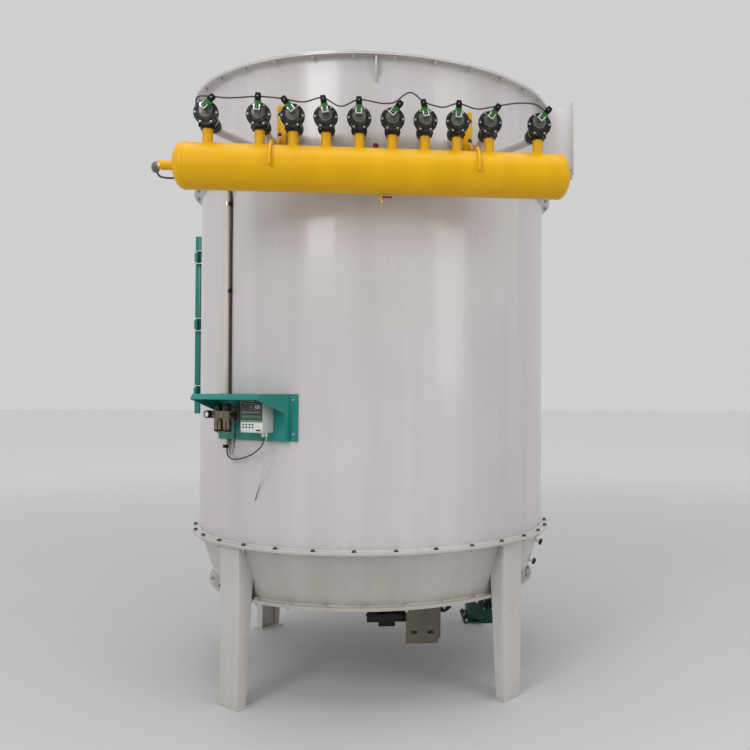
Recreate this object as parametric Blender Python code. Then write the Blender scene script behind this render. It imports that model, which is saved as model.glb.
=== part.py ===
"""Round, flat-bottomed, pulse-jet dust collector on four legs, in metres with +Z up.

It is drawn about its vertical axis with the pulse header towards -Y, and the finished collector is then
moved so that the middle of its footprint is the origin. Azimuths are in degrees from the front and grow
towards +X. In a station, x runs along the shell, -y points outwards and z is the height.
"""

import math

import bmesh
import bpy
from mathutils import Matrix, Vector

GAP = 0.0003  # between faces that touch
STEP = 0.0002  # keeps the faces of joined shapes out of one plane

# Shell
SHELL_RADIUS = 1.05
SHELL_WALL = 0.004
FACET_DEG = 7.5  # one flat of the shell, the floor and the roof
FLANGE_WIDTH = 0.045
FLANGE_THICKNESS = 0.008

# Heights, stacked from the ground up
FLOOR_UNDERSIDE = 0.548
FLOOR_THICKNESS = 0.008
HOPPER_HEIGHT = 0.312
CASING_HEIGHT = 1.990
PLENUM_HEIGHT = 0.543
TUBE_SHEET_THICKNESS = 0.006
ROOF_THICKNESS = 0.008
STIFFENER_HALF_LENGTH = 0.82
STIFFENER_HEIGHT = 0.045
STIFFENER_THICKNESS = 0.006

# Hopper and legs
HOPPER_TAPER = 0.103
LEG_AZIMUTHS = {"front_left": -45, "front_right": 45, "rear_right": 135, "rear_left": -135}
LEG_OUTSET = 0.025
LEG_TOP_WIDTH = 0.166
LEG_FOOT_WIDTH = 0.152
LEG_TOP_DEPTH = 0.100
LEG_FOOT_DEPTH = 0.055
LEG_PLATE = 0.005
FOOT_WIDTH = 0.184
FOOT_DEPTH = 0.086
FOOT_TOE = 0.010
FOOT_THICKNESS = 0.010
HATCH_SPAN = (84, 106)
HATCH_FOOT_MARGIN = 0.024
HATCH_TOP_MARGIN = 0.060
HATCH_THICKNESS = 0.014
HATCH_KNOB_AZIMUTH = 87
HATCH_KNOB_RISE = 0.056
HATCH_KNOB_SPACING = 0.123

# Filter bags and blow tubes
BAG_RADIUS = 0.060
BAG_LENGTH = 1.44
BAG_PITCH = 0.157
BAG_FIELD_INSET = 0.25
TUBE_PLATE_INSET = 0.15
BLOW_TUBE_RADIUS = 0.024
BLOW_RAIL_INSET = 0.35
BLOW_RAIL_THICKNESS = 0.006

# Header and valves
ROW_X = (0.079, 0.236, 0.391, 0.548, 0.788)
OUTER_ROW_ENTRY_X = 0.66
HEADER_STANDOFF = 0.231
HEADER_DROP = 0.117
HEADER_RADIUS = 0.1095
HEADER_LENGTH = 1.896
HEADER_DISH = 0.055
NIPPLE_LENGTH = 0.052
NIPPLE_RADIUS = 0.0225
ELBOW_RADIUS = 0.0185
STUB_RADIUS = 0.0242
STUB_RISE = 0.175
VALVE_RISE = 0.064
BONNET_RADIUS = 0.0575
SLEEVE_RADIUS = 0.031
SLEEVE_END = 0.135
COIL_TURNS = (45, 5, -40, -10, 0, 40, -14, 0, 35, 42)
RELIEF_OFFSET = 0.062
DRAIN_X = 0.031
HANGER_X = 0.487
HANGER_PLATE = 0.010
HANGER_RISE = 0.024
BRACKET_INSET = 0.055
BRACKET_WIDTH = 0.042
BRACKET_EDGE = 0.012
BRACKET_DEPTH = 0.145
BRACKET_PLATE = 0.005
BRACKET_RISE = 0.139
BRACKET_LENGTH = 0.258

# Ducts
OUTLET_HALF_WIDTH = 0.40
OUTLET_HEIGHT = 0.36
OUTLET_STANDOFF = 0.128
DUCT_WALL = 0.003
DUCT_FLANGE = 0.040
DUCT_FLANGE_THICKNESS = 0.008
INLET_OUTER_INSET = 0.03
INLET_WIDTH = 0.40
INLET_RISE = 0.07
INLET_HEIGHT = 0.44
INLET_STANDOFF = 0.20

# Access door
DOOR_AZIMUTH = -107
DOOR_WIDTH = 0.530
DOOR_HEIGHT = 1.110
DOOR_DROP = 0.210
DOOR_THICKNESS = 0.034
DOOR_SHEET = 0.004
FRAME_STANDOFF = 0.003
FRAME_BAR = 0.050
FRAME_DEPTH = 0.058
DOOR_CLEARANCE = 0.005
HINGE_BESIDE = 0.018
HINGE_STANDOFF = 0.022
HINGE_SPACING = 0.42
BARREL_RADIUS = 0.0125
BARREL_LENGTH = 0.055
BARREL_ARM = 0.008
PIN_RADIUS = 0.005
PIN_CLEARANCE = 0.0005
EAR_THICKNESS = 0.005
EAR_CLEARANCE = 0.009
KNOB_EDGE = 0.06
KNOB_SPACING = 0.50

# Instrument shelf
SHELF_AZIMUTH = -37
SHELF_HALF_WIDTH = 0.235
SHELF_FLANGE = 0.046
SHELF_FLANGE_THICKNESS = 0.012
SHELF_RISE = 0.558
SHELF_HEIGHT = 0.242
SHELF_STANDOFF = 0.015
SHELF_SHEET = 0.003
HOOD_DEPTH = 0.197
HOOD_LIP = 0.028
GUSSET_DROP = 0.100

# Conduit and cords
CONDUIT_AZIMUTH = -47.6
CONDUIT_RADIUS = 0.011
CONDUIT_STANDOFF = 0.002
CONDUIT_DROP = 0.070
CONDUIT_LENGTH = 1.410
CLAMP_DROPS = (0.099, 0.567)
HOSE_AZIMUTH = -46.67
HOSE_RADIUS = 0.0048
VALVE_CABLE_RADIUS = 0.0035
CONTROL_CABLE_RADIUS = 0.0035
LEAD_RADIUS = 0.0018

# Drive and discharge, hung from the floor
DRIVE_PLATE_FORWARD = 0.420
DRIVE_PLATE_LEFT = 0.190
DRIVE_PLATE_WIDTH = 0.202
DRIVE_PLATE_HEIGHT = 0.341
DRIVE_PLATE_THICKNESS = 0.006
MOTOR_AXIS_Y = -0.320
MOTOR_AXIS_DROP = 0.116
MOTOR_RADIUS = 0.088
MOTOR_LENGTH = 0.275
AIRLOCK_CENTRE = (0.665, -0.300)
AIRLOCK_SIDE = 0.270
AIRLOCK_HEIGHT = 0.230
AIRLOCK_DRUM_RADIUS = 0.098

COLOURS = {
    "enamel": ((0.58, 0.55, 0.54), 0.35, 0.0),
    "header_yellow": ((0.78, 0.45, 0.02), 0.38, 0.0),
    "teal": ((0.02, 0.22, 0.20), 0.40, 0.0),
    "cast_valve": ((0.10, 0.10, 0.095), 0.55, 0.2),
    "black_rubber": ((0.02, 0.02, 0.02), 0.70, 0.0),
    "grey_plastic": ((0.42, 0.44, 0.43), 0.45, 0.0),
    "conduit_beige": ((0.58, 0.53, 0.46), 0.45, 0.0),
    "motor_black": ((0.015, 0.015, 0.018), 0.50, 0.0),
    "airlock_green": ((0.008, 0.06, 0.05), 0.45, 0.0),
    "bag_felt": ((0.75, 0.73, 0.68), 0.95, 0.0),
    "brass": ((0.55, 0.38, 0.12), 0.35, 0.9),
}


def polar(azimuth, radius, height=0.0):
    """The point at this azimuth from the front."""
    turn = math.radians(azimuth)
    return Vector((radius * math.sin(turn), -radius * math.cos(turn), height))


def station(azimuth, height=0.0):
    """The frame whose x runs along the shell at this azimuth, with -y pointing outwards."""
    return Matrix.Translation((0, 0, height)) @ Matrix.Rotation(math.radians(azimuth), 4, "Z")


def shape(mesh, place=Matrix()):
    """A temporary object of this closed mesh, with its faces outwards."""
    bmesh.ops.recalc_face_normals(mesh, faces=mesh.faces)
    mesh.transform(place)
    data = bpy.data.meshes.new("shape")
    mesh.to_mesh(data)
    mesh.free()
    made = bpy.data.objects.new("shape", data)
    bpy.context.collection.objects.link(made)
    return made


def skinned(rings, closed, place=Matrix()):
    """A solid through rings of points, closed into a loop or capped at its first and last ring."""
    mesh = bmesh.new()
    made = [[mesh.verts.new(point) for point in ring] for ring in rings]
    pairs = list(zip(made, made[1:] + made[:1])) if closed else list(zip(made, made[1:]))
    size = len(made[0])
    for ring, after in pairs:
        for i in range(size):
            j = (i + 1) % size
            corners = (ring[i], ring[j], after[j], after[i])
            if (corners[0].co - corners[3].co).length + (corners[1].co - corners[2].co).length > 1e-9:
                mesh.faces.new(corners)
    if not closed:
        mesh.faces.new(made[0])
        mesh.faces.new(list(reversed(made[-1])))
    bmesh.ops.remove_doubles(mesh, verts=mesh.verts, dist=1e-6)
    return shape(mesh, place)


def lathe(profile, facets, place=Matrix()):
    """A closed outline of (radius, height) points turned right round the z axis of place."""
    turns = [360 * step / facets for step in range(facets)]
    return skinned([[polar(turn, r, z) for r, z in profile] for turn in turns], True, place)


def on_flat(azimuth):
    """How far in a point of the shell lies at this azimuth, because the shell is drawn with flats."""
    middle = (math.floor(azimuth / FACET_DEG) + 0.5) * FACET_DEG
    return math.cos(math.radians(FACET_DEG / 2)) / math.cos(math.radians(azimuth - middle))


def shell_part(profile, start=0.0, end=360.0):
    """A closed outline of (radius, height) points turned about the body axis, on the shell's own flats."""
    first = math.floor(start / FACET_DEG) + 1
    last = math.ceil(end / FACET_DEG)
    between = [FACET_DEG * step for step in range(first, last)]
    whole = end - start > 359.9
    turns = ([start] if whole else [start, end])
    turns = sorted(turns + between)
    rings = [[polar(turn, r * on_flat(turn), z) for r, z in profile] for turn in turns]
    return skinned(rings, whole)


def box(low, high, place=Matrix()):
    """A rectangular block between two corners."""
    (x0, y0, z0), (x1, y1, z1) = low, high
    rings = [[(x, y0, z0), (x, y1, z0), (x, y1, z1), (x, y0, z1)] for x in (x0, x1)]
    return skinned(rings, False, place)


def prism(outline, low, high, place=Matrix()):
    """A flat outline of (x, y) points, extruded from low to high along z."""
    return skinned([[(x, y, z) for x, y in outline] for z in (low, high)], False, place)


def along(axis, point=(0, 0, 0)):
    """The frame at a point whose z runs along a direction."""
    return Matrix.Translation(point) @ Vector(axis).to_track_quat("Z", "Y").to_matrix().to_4x4()


def rod(start, end, radius, facets=12):
    """A round bar between two points."""
    start, end = Vector(start), Vector(end)
    length = (end - start).length
    profile = [(0, 0), (radius, 0), (radius, length), (0, length)]
    return lathe(profile, facets, along(end - start, start))


def bent_pipe(points, radius, facets=12):
    """A round pipe through these points, mitred at its bends."""
    points = [Vector(point) for point in points]
    rings = []
    for i, point in enumerate(points):
        before = (point - points[max(i - 1, 0)]).normalized()
        after = (points[min(i + 1, len(points) - 1)] - point).normalized()
        frame = along(before + after)
        rings.append([point + frame.to_3x3() @ polar(360 * k / facets, radius) for k in range(facets)])
    return skinned(rings, False)


def combined(base, others, operation="UNION"):
    """The base joined with, or cut by, the other shapes, which are used up."""
    for other in others:
        modifier = base.modifiers.new("Combine", "BOOLEAN")
        modifier.operation = operation
        modifier.object = other
    graph = bpy.context.evaluated_depsgraph_get()
    data = bpy.data.meshes.new_from_object(base.evaluated_get(graph))
    base.modifiers.clear()
    base.data = data
    for other in others:
        bpy.data.objects.remove(other)
    return base


def cut(base, *others):
    """The base without the other shapes."""
    return combined(base, others, "DIFFERENCE")


def material(name):
    """The finish of this name, made once."""
    found = bpy.data.materials.get(name)
    if found:
        return found
    colour, roughness, metallic = COLOURS[name]
    made = bpy.data.materials.new(name)
    made.use_nodes = True
    shader = made.node_tree.nodes["Principled BSDF"]
    shader.inputs["Base Color"].default_value = (*colour, 1)
    shader.inputs["Roughness"].default_value = roughness
    shader.inputs["Metallic"].default_value = metallic
    return made


def finished(name, base, finish, parent, smooth_deg=32):
    """Names a shape, gives it its finish and hangs it under its parent."""
    base.name = name
    base.data.name = name
    base.data.materials.clear()
    base.data.materials.append(material(finish))
    if base.type == "MESH":
        base.data.shade_smooth()
        base.data.set_sharp_from_angle(angle=math.radians(smooth_deg))
    base.parent = parent
    return base


def smooth_route(route, spacing, most=80):
    """Points a spacing apart on a smooth curve through the route."""
    knots = [Vector(point) for point in route]
    knots = [2 * knots[0] - knots[1]] + knots + [2 * knots[-1] - knots[-2]]
    fine = []
    for before, start, end, after in zip(knots, knots[1:], knots[2:], knots[3:]):
        for step in range(24):
            u = step / 24
            fine.append(0.5 * (2 * start + (end - before) * u
                               + (2 * before - 5 * start + 4 * end - after) * u ** 2
                               + (3 * start - before - 3 * end + after) * u ** 3))
    fine.append(knots[-2])
    reach = [0.0]
    for here, there in zip(fine, fine[1:]):
        reach.append(reach[-1] + (there - here).length)
    count = min(most, max(4, round(reach[-1] / spacing) + 1))
    points = []
    k = 0
    for i in range(count):
        target = reach[-1] * i / (count - 1)
        while k < len(fine) - 2 and reach[k + 1] < target:
            k += 1
        share = (target - reach[k]) / max(reach[k + 1] - reach[k], 1e-9)
        points.append(fine[k].lerp(fine[k + 1], min(max(share, 0.0), 1.0)))
    return points


def cord(name, route, radius, finish, parent):
    """A round cord through the route's points, which leaves both its ends straight."""
    data = bpy.data.curves.new(name, "CURVE")
    data.dimensions = "3D"
    data.bevel_depth = radius
    data.bevel_resolution = 2
    data.use_fill_caps = True
    points = smooth_route(route, 5 * radius)
    second, second_last = Vector(route[1]), Vector(route[-2])
    lead = points[0] + 2 * radius * (second - points[0]).normalized()
    tail = points[-1] + 2 * radius * (second_last - points[-1]).normalized()
    points = [points[0], lead] + points[1:-1] + [tail, points[-1]]
    spline = data.splines.new("POLY")
    spline.points.add(len(points) - 1)
    for made, point in zip(spline.points, points):
        made.co = (*point, 1)
    made = bpy.data.objects.new(name, data)
    bpy.context.collection.objects.link(made)
    return finished(name, made, finish, parent)


def solid_of_shell(low, high, radius_low, radius_high=None):
    """The whole round space inside a radius, on the shell's flats."""
    radius_high = radius_low if radius_high is None else radius_high
    return shell_part([(0, low), (radius_low, low), (radius_high, high), (0, high)])


def flanged_shell(low, high, radius_low, radius_high, start, end):
    """A wall with a flange round its foot and its top, over a range of azimuths."""
    slope = (radius_high - radius_low) / (high - low)
    edge = math.degrees(GAP / 2 / SHELL_RADIUS)
    outer_low = radius_low + slope * FLANGE_THICKNESS
    outer_high = radius_high - slope * FLANGE_THICKNESS
    profile = [
        (radius_low - SHELL_WALL, low),
        (radius_low + FLANGE_WIDTH, low),
        (radius_low + FLANGE_WIDTH, low + FLANGE_THICKNESS),
        (outer_low, low + FLANGE_THICKNESS),
        (outer_high, high - FLANGE_THICKNESS),
        (radius_high + FLANGE_WIDTH, high - FLANGE_THICKNESS),
        (radius_high + FLANGE_WIDTH, high),
        (radius_high - SHELL_WALL, high),
    ]
    return shell_part(profile, start + edge, end - edge)


# Levels and radii that follow from the driving sizes
FLOOR_TOP = FLOOR_UNDERSIDE + FLOOR_THICKNESS
MAIN_SEAM = FLOOR_UNDERSIDE + HOPPER_HEIGHT
TUBE_SHEET_MIDDLE = MAIN_SEAM + CASING_HEIGHT
ROOF_TOP = TUBE_SHEET_MIDDLE + PLENUM_HEIGHT
HOPPER_FOOT = FLOOR_TOP + GAP
HOPPER_TOP = MAIN_SEAM - GAP / 2
CASING_FOOT = MAIN_SEAM + GAP / 2
CASING_TOP = TUBE_SHEET_MIDDLE - TUBE_SHEET_THICKNESS / 2 - GAP
PLENUM_FOOT = TUBE_SHEET_MIDDLE + TUBE_SHEET_THICKNESS / 2 + GAP
PLENUM_TOP = ROOF_TOP - ROOF_THICKNESS - GAP
RIM_RADIUS = SHELL_RADIUS + FLANGE_WIDTH
HOPPER_FOOT_RADIUS = SHELL_RADIUS - HOPPER_TAPER
TUBE_PLATE_RADIUS = SHELL_RADIUS - TUBE_PLATE_INSET
LEG_FACE_RADIUS = SHELL_RADIUS + LEG_OUTSET
HEADER_FORWARD = SHELL_RADIUS + HEADER_STANDOFF
HEADER_HEIGHT = TUBE_SHEET_MIDDLE - HEADER_DROP
STUB_TOP = HEADER_HEIGHT + STUB_RISE
BLOW_HEIGHT = STUB_TOP + VALVE_RISE
BRACKET_FORWARD = SHELL_RADIUS - BRACKET_INSET
BRACKET_FOOT = HEADER_HEIGHT + BRACKET_RISE
BRACKET_TOP = BRACKET_FOOT + BRACKET_LENGTH
OUTLET_TOP = PLENUM_TOP - FLANGE_THICKNESS - GAP
OUTLET_REACH = SHELL_RADIUS + OUTLET_STANDOFF
INLET_FOOT = MAIN_SEAM + INLET_RISE
INLET_OUTER_X = SHELL_RADIUS - INLET_OUTER_INSET
INLET_REACH = SHELL_RADIUS + INLET_STANDOFF
DOOR_TOP = TUBE_SHEET_MIDDLE - DOOR_DROP
DOOR_FOOT = DOOR_TOP - DOOR_HEIGHT
DOOR_MIDDLE = (DOOR_FOOT + DOOR_TOP) / 2
FRAME_FACE = SHELL_RADIUS + FRAME_STANDOFF
DOOR_INNER = FRAME_FACE + DOOR_CLEARANCE
DOOR_OUTER = DOOR_INNER + DOOR_THICKNESS
HINGE_ALONG = DOOR_WIDTH / 2 + HINGE_BESIDE
HINGE_OUT = FRAME_FACE + HINGE_STANDOFF
HINGE_HEIGHTS = (DOOR_MIDDLE - HINGE_SPACING, DOOR_MIDDLE, DOOR_MIDDLE + HINGE_SPACING)
SHELF_FOOT = MAIN_SEAM + SHELF_RISE
SHELF_TOP = SHELF_FOOT + SHELF_HEIGHT
SHELF_FACE = SHELL_RADIUS + SHELF_STANDOFF
HOOD_REACH = SHELF_FACE + HOOD_DEPTH
CONDUIT_TOP = TUBE_SHEET_MIDDLE - CONDUIT_DROP
CONDUIT_FOOT = CONDUIT_TOP - CONDUIT_LENGTH
CONDUIT_OUT = SHELL_RADIUS + CONDUIT_STANDOFF + CONDUIT_RADIUS

# Lays an outline of (y, z) points across the x axis.
ACROSS = Matrix(((0, 0, 1, 0), (1, 0, 0, 0), (0, 1, 0, 0), (0, 0, 0, 1)))


def outlet_space(inset, inner_x, outer_x):
    """The block of the clean-air duct, inset from its outer faces."""
    low = (inner_x, -OUTLET_HALF_WIDTH + inset, OUTLET_TOP - OUTLET_HEIGHT + inset)
    return box(low, (outer_x, OUTLET_HALF_WIDTH - inset, OUTLET_TOP - inset))


def inlet_space(inset, inner_y, outer_y):
    """The block of the dust duct, inset from its outer faces."""
    low = (INLET_OUTER_X - INLET_WIDTH + inset, inner_y, INLET_FOOT + inset)
    return box(low, (INLET_OUTER_X - inset, outer_y, INLET_FOOT + INLET_HEIGHT - inset))


def row_entry(x):
    """Where a row's pipe meets the shell: the outer rows run inwards from their valves."""
    entry = math.copysign(OUTER_ROW_ENTRY_X, x) if abs(x) > OUTER_ROW_ENTRY_X else x
    return Vector((entry, -math.sqrt(SHELL_RADIUS ** 2 - entry ** 2), BLOW_HEIGHT))


def valve_places():
    """The x of each valve from left to right."""
    return [-x for x in reversed(ROW_X)] + list(ROW_X)


def make_plenum(parent):
    """The clean-air plenum in three parts, with lifting lugs, the row pipes and the outlet opening."""
    for name, start in (("plenum_front", -60), ("plenum_right_back", 60), ("plenum_left_back", 180)):
        wall = flanged_shell(PLENUM_FOOT, PLENUM_TOP, SHELL_RADIUS, SHELL_RADIUS, start, start + 120)
        under = PLENUM_TOP - FLANGE_THICKNESS + 0.001
        inner, outer = -SHELL_RADIUS + SHELL_WALL, -RIM_RADIUS + 0.009
        lug = [(inner, under - 0.135), (outer, under - 0.062), (outer, under), (inner, under)]
        # Near the outlet the lug would stand in the duct's mouth.
        lug_azimuth = start + 60 if start != 60 else start + 82
        wall = combined(wall, [prism(lug, -0.005, 0.005, station(lug_azimuth) @ ACROSS)])
        if name == "plenum_front":
            wall = combined(wall, [row_pipe(x) for x in valve_places()])
            inside = solid_of_shell(PLENUM_FOOT + 0.02, PLENUM_TOP - 0.02, SHELL_RADIUS - SHELL_WALL)
            wall = cut(wall, inside)
        if name == "plenum_right_back":
            wall = cut(wall, outlet_space(DUCT_WALL, SHELL_RADIUS / 2, OUTLET_REACH))
        finished(name, wall, "enamel", parent)


def row_pipe(x):
    """The pipe between a valve's sleeve and the shell."""
    entry = row_entry(x)
    start = Vector((x, -HEADER_FORWARD + SLEEVE_END + GAP, BLOW_HEIGHT))
    if abs(entry.x - x) < 0.001:
        return rod(start, entry + Vector((0, 0.03, 0)), BLOW_TUBE_RADIUS)
    bend = start + Vector((0, 0.03, 0))
    return bent_pipe([start, bend, entry + 0.05 * (entry - bend).normalized()], BLOW_TUBE_RADIUS)


def make_blow_tubes(parent):
    """The tubes over the rows of bags, carried by a rail at their far ends."""
    rail_y, reach = SHELL_RADIUS - BLOW_RAIL_INSET, OUTER_ROW_ENTRY_X + 0.06
    rail = box((-reach, rail_y, BLOW_HEIGHT - 0.045),
               (reach, rail_y + BLOW_RAIL_THICKNESS, BLOW_HEIGHT + 0.005))
    tubes = []
    for x in valve_places():
        entry = row_entry(x)
        inner = Vector((entry.x, entry.y + SHELL_WALL + 0.001, BLOW_HEIGHT))
        reach = min(rail_y + 0.02, -entry.y - 0.03)
        tubes.append(rod(inner, (entry.x, reach, BLOW_HEIGHT), BLOW_TUBE_RADIUS, 8))
    made = combined(rail, tubes)
    room = solid_of_shell(PLENUM_FOOT, PLENUM_TOP, SHELL_RADIUS - SHELL_WALL - GAP)
    finished("blow_tubes", combined(made, [room], "INTERSECT"), "enamel", parent)


def make_roof(parent):
    """The flat cover with two stiffening bars across it."""
    half, side = STIFFENER_HALF_LENGTH, STIFFENER_THICKNESS / 2
    low, high = ROOF_TOP - 0.001, ROOF_TOP + STIFFENER_HEIGHT
    plate = solid_of_shell(ROOF_TOP - ROOF_THICKNESS, ROOF_TOP, RIM_RADIUS)
    bars = [box((-half, -side, low), (half, side, high)), box((-side, -half, low), (side, half, high))]
    finished("roof_plate", combined(plate, bars), "enamel", parent)


def make_tube_sheet(parent):
    """The ring clamped between casing and plenum, and the plate that carries the filter bags."""
    low = TUBE_SHEET_MIDDLE - TUBE_SHEET_THICKNESS / 2
    high = low + TUBE_SHEET_THICKNESS
    ring = [(TUBE_PLATE_RADIUS, low), (RIM_RADIUS, low), (RIM_RADIUS, high), (TUBE_PLATE_RADIUS, high)]
    finished("tube_sheet_ring", shell_part(ring), "enamel", parent)
    plate = solid_of_shell(low, high, TUBE_PLATE_RADIUS - GAP)
    bags = []
    for x in valve_places():
        row = math.copysign(min(abs(x), BAG_PITCH * 4.5), x)
        half = math.sqrt((SHELL_RADIUS - BAG_FIELD_INSET) ** 2 - row ** 2)
        count = int(2 * half / BAG_PITCH) + 1
        for i in range(count):
            y = (i - (count - 1) / 2) * BAG_PITCH
            bags.append((row, y))
    mesh = bmesh.new()
    for x, y in bags:
        place = Matrix.Translation((x, y, low + 0.001 - BAG_LENGTH / 2))
        bmesh.ops.create_cone(mesh, cap_ends=True, segments=6, radius1=BAG_RADIUS, radius2=BAG_RADIUS,
                              depth=BAG_LENGTH, matrix=place)
    finished("filter_bags", combined(plate, [shape(mesh)]), "bag_felt", parent)


def door_space(margin, inner, outer):
    """The block of the door frame's outline, widened by a margin."""
    half = DOOR_WIDTH / 2 + margin
    return box((-half, -outer, DOOR_FOOT - margin), (half, -inner, DOOR_TOP + margin), station(DOOR_AZIMUTH))


def make_casing(parent):
    """The filter casing round the bags, in parts that meet beside, over and under the door."""
    side = math.degrees(math.asin((DOOR_WIDTH / 2 - 0.004) / SHELL_RADIUS))
    before, after = DOOR_AZIMUTH - side, DOOR_AZIMUTH + side
    spans = (
        ("casing_front", after, 22.5),
        ("casing_right", 22.5, 97.5),
        ("casing_back", 97.5, 360 + before),
    )
    for name, start, end in spans:
        wall = flanged_shell(CASING_FOOT, CASING_TOP, SHELL_RADIUS, SHELL_RADIUS, start, end)
        if name != "casing_right":
            wall = cut(wall, door_space(GAP, SHELL_RADIUS - 0.15, SHELL_RADIUS + 0.15))
        if name == "casing_back":
            wall = cut(wall, inlet_space(DUCT_WALL, SHELL_RADIUS / 7, INLET_REACH))
        finished(name, wall, "enamel", parent)
    edge = math.degrees(GAP / 2 / SHELL_RADIUS)
    inner, outer = SHELL_RADIUS - SHELL_WALL, SHELL_RADIUS
    top = DOOR_TOP + GAP
    over = [
        (inner, top), (outer, top), (outer, CASING_TOP - FLANGE_THICKNESS),
        (RIM_RADIUS, CASING_TOP - FLANGE_THICKNESS), (RIM_RADIUS, CASING_TOP), (inner, CASING_TOP),
    ]
    finished("casing_over_door", shell_part(over, before + edge, after - edge), "enamel", parent)
    foot = DOOR_FOOT - GAP
    under = [
        (inner, CASING_FOOT), (RIM_RADIUS, CASING_FOOT), (RIM_RADIUS, CASING_FOOT + FLANGE_THICKNESS),
        (outer, CASING_FOOT + FLANGE_THICKNESS), (outer, foot), (inner, foot),
    ]
    finished("casing_under_door", shell_part(under, before + edge, after - edge), "enamel", parent)


def make_door_frame(parent):
    """The flat frame let into the round casing, with the hinge brackets and their pins."""
    here = station(DOOR_AZIMUTH)
    frame = door_space(0, FRAME_FACE - FRAME_DEPTH, FRAME_FACE)
    frame = cut(frame, door_space(-FRAME_BAR, FRAME_FACE - 2 * FRAME_DEPTH, FRAME_FACE + FRAME_DEPTH))
    side = DOOR_WIDTH / 2
    reach = BARREL_LENGTH / 2 + EAR_CLEARANCE
    added = []
    for height in HINGE_HEIGHTS:
        half = reach + EAR_THICKNESS + 0.001
        added.append(box((side - 0.001, -FRAME_FACE + 0.008, height - half),
                         (HINGE_ALONG - BARREL_RADIUS + 0.002, -FRAME_FACE + 0.035, height + half), here))
        ear = [
            (HINGE_ALONG + BARREL_RADIUS * math.cos(math.radians(turn)),
             -HINGE_OUT - BARREL_RADIUS * math.sin(math.radians(turn)))
            for turn in range(0, 181, 30)
        ]
        root = -FRAME_FACE + 0.033
        ear += [(HINGE_ALONG - BARREL_RADIUS, root), (HINGE_ALONG + BARREL_RADIUS, root)]
        for low in (height - reach - EAR_THICKNESS, height + reach):
            added.append(prism(ear, low, low + EAR_THICKNESS, here))
        pin_reach = reach + EAR_THICKNESS + 0.004
        foot = here @ Vector((HINGE_ALONG, -HINGE_OUT, height - pin_reach))
        head = here @ Vector((HINGE_ALONG, -HINGE_OUT, height + pin_reach))
        added.append(rod(foot, head, PIN_RADIUS, 8))
    finished("door_frame", combined(frame, added), "enamel", parent)


def make_door(parent):
    """The folded door pan with its hinge barrels and two pull knobs, hung on its hinge axis."""
    here = station(DOOR_AZIMUTH)
    axis = here @ Vector((HINGE_ALONG, -HINGE_OUT, DOOR_MIDDLE))
    hinge = bpy.data.objects.new("door_hinge_axis", None)
    bpy.context.collection.objects.link(hinge)
    hinge.parent = parent
    hinge.location = axis
    half = DOOR_WIDTH / 2
    pan = door_space(0, DOOR_INNER, DOOR_OUTER)
    hollow = box((-half + DOOR_SHEET, -DOOR_OUTER + DOOR_SHEET, DOOR_FOOT + DOOR_SHEET),
                 (half - DOOR_SHEET, -DOOR_INNER + 0.01, DOOR_TOP - DOOR_SHEET), here)
    pan = cut(pan, hollow)
    added = []
    for height in HINGE_HEIGHTS:
        low, high = height - BARREL_LENGTH / 2, height + BARREL_LENGTH / 2
        arm = BARREL_ARM / 2
        added.append(box((half - 0.002, -HINGE_OUT - arm, low),
                         (HINGE_ALONG - BARREL_RADIUS + 0.004, -HINGE_OUT + arm, high), here))
        bore = PIN_RADIUS + PIN_CLEARANCE
        barrel = [(bore, low), (BARREL_RADIUS, low), (BARREL_RADIUS, high), (bore, high)]
        added.append(lathe(barrel, 12, here @ Matrix.Translation((HINGE_ALONG, -HINGE_OUT, 0))))
    for height in (DOOR_MIDDLE - KNOB_SPACING / 2, DOOR_MIDDLE + KNOB_SPACING / 2):
        knob = [(0, -0.002), (0.010, -0.002), (0.010, 0.022), (0.026, 0.026), (0.026, 0.042), (0, 0.046)]
        at = here @ Vector((-half + KNOB_EDGE, -DOOR_OUTER, height))
        added.append(lathe(knob, 10, along(here.to_3x3() @ Vector((0, -1, 0)), at)))
    door = combined(pan, added)
    finished("access_door", door, "teal", hinge)
    door.matrix_parent_inverse = Matrix.Translation(-axis)


def make_hopper(parent):
    """The short tapered ring between the casing and the flat floor, in three parts."""
    for name, start in (("hopper_front", -60), ("hopper_right", 60), ("hopper_left", 180)):
        wall = flanged_shell(HOPPER_FOOT, HOPPER_TOP, HOPPER_FOOT_RADIUS, SHELL_RADIUS, start, start + 120)
        finished(name, wall, "enamel", parent)
    plate = solid_of_shell(FLOOR_UNDERSIDE, FLOOR_TOP, HOPPER_FOOT_RADIUS + FLANGE_WIDTH)
    finished("floor_plate", plate, "enamel", parent)


def make_leg(name, azimuth, parent):
    """A tapering U-section leg, web outwards, under the main flange and against the hopper."""
    here = station(azimuth)
    top = HOPPER_TOP - FLANGE_THICKNESS - GAP
    ends = ((FOOT_THICKNESS - 0.001, LEG_FOOT_WIDTH, LEG_FOOT_DEPTH), (top, LEG_TOP_WIDTH, LEG_TOP_DEPTH))
    rings = []
    for height, width, depth in ends:
        half, back, face = width / 2, -LEG_FACE_RADIUS + depth, -LEG_FACE_RADIUS
        rings.append([
            (-half, back, height), (-half, face, height), (half, face, height), (half, back, height),
            (half - LEG_PLATE, back, height), (half - LEG_PLATE, face + LEG_PLATE, height),
            (-half + LEG_PLATE, face + LEG_PLATE, height), (-half + LEG_PLATE, back, height),
        ])
    leg = skinned(rings, False, here)
    toe = -LEG_FACE_RADIUS - FOOT_TOE
    foot = box((-FOOT_WIDTH / 2, toe, 0), (FOOT_WIDTH / 2, toe + FOOT_DEPTH, FOOT_THICKNESS), here)
    leg = combined(leg, [foot])
    hopper = solid_of_shell(HOPPER_FOOT, HOPPER_TOP, HOPPER_FOOT_RADIUS + GAP, SHELL_RADIUS + GAP)
    finished(name, cut(leg, hopper), "enamel", parent)


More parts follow.
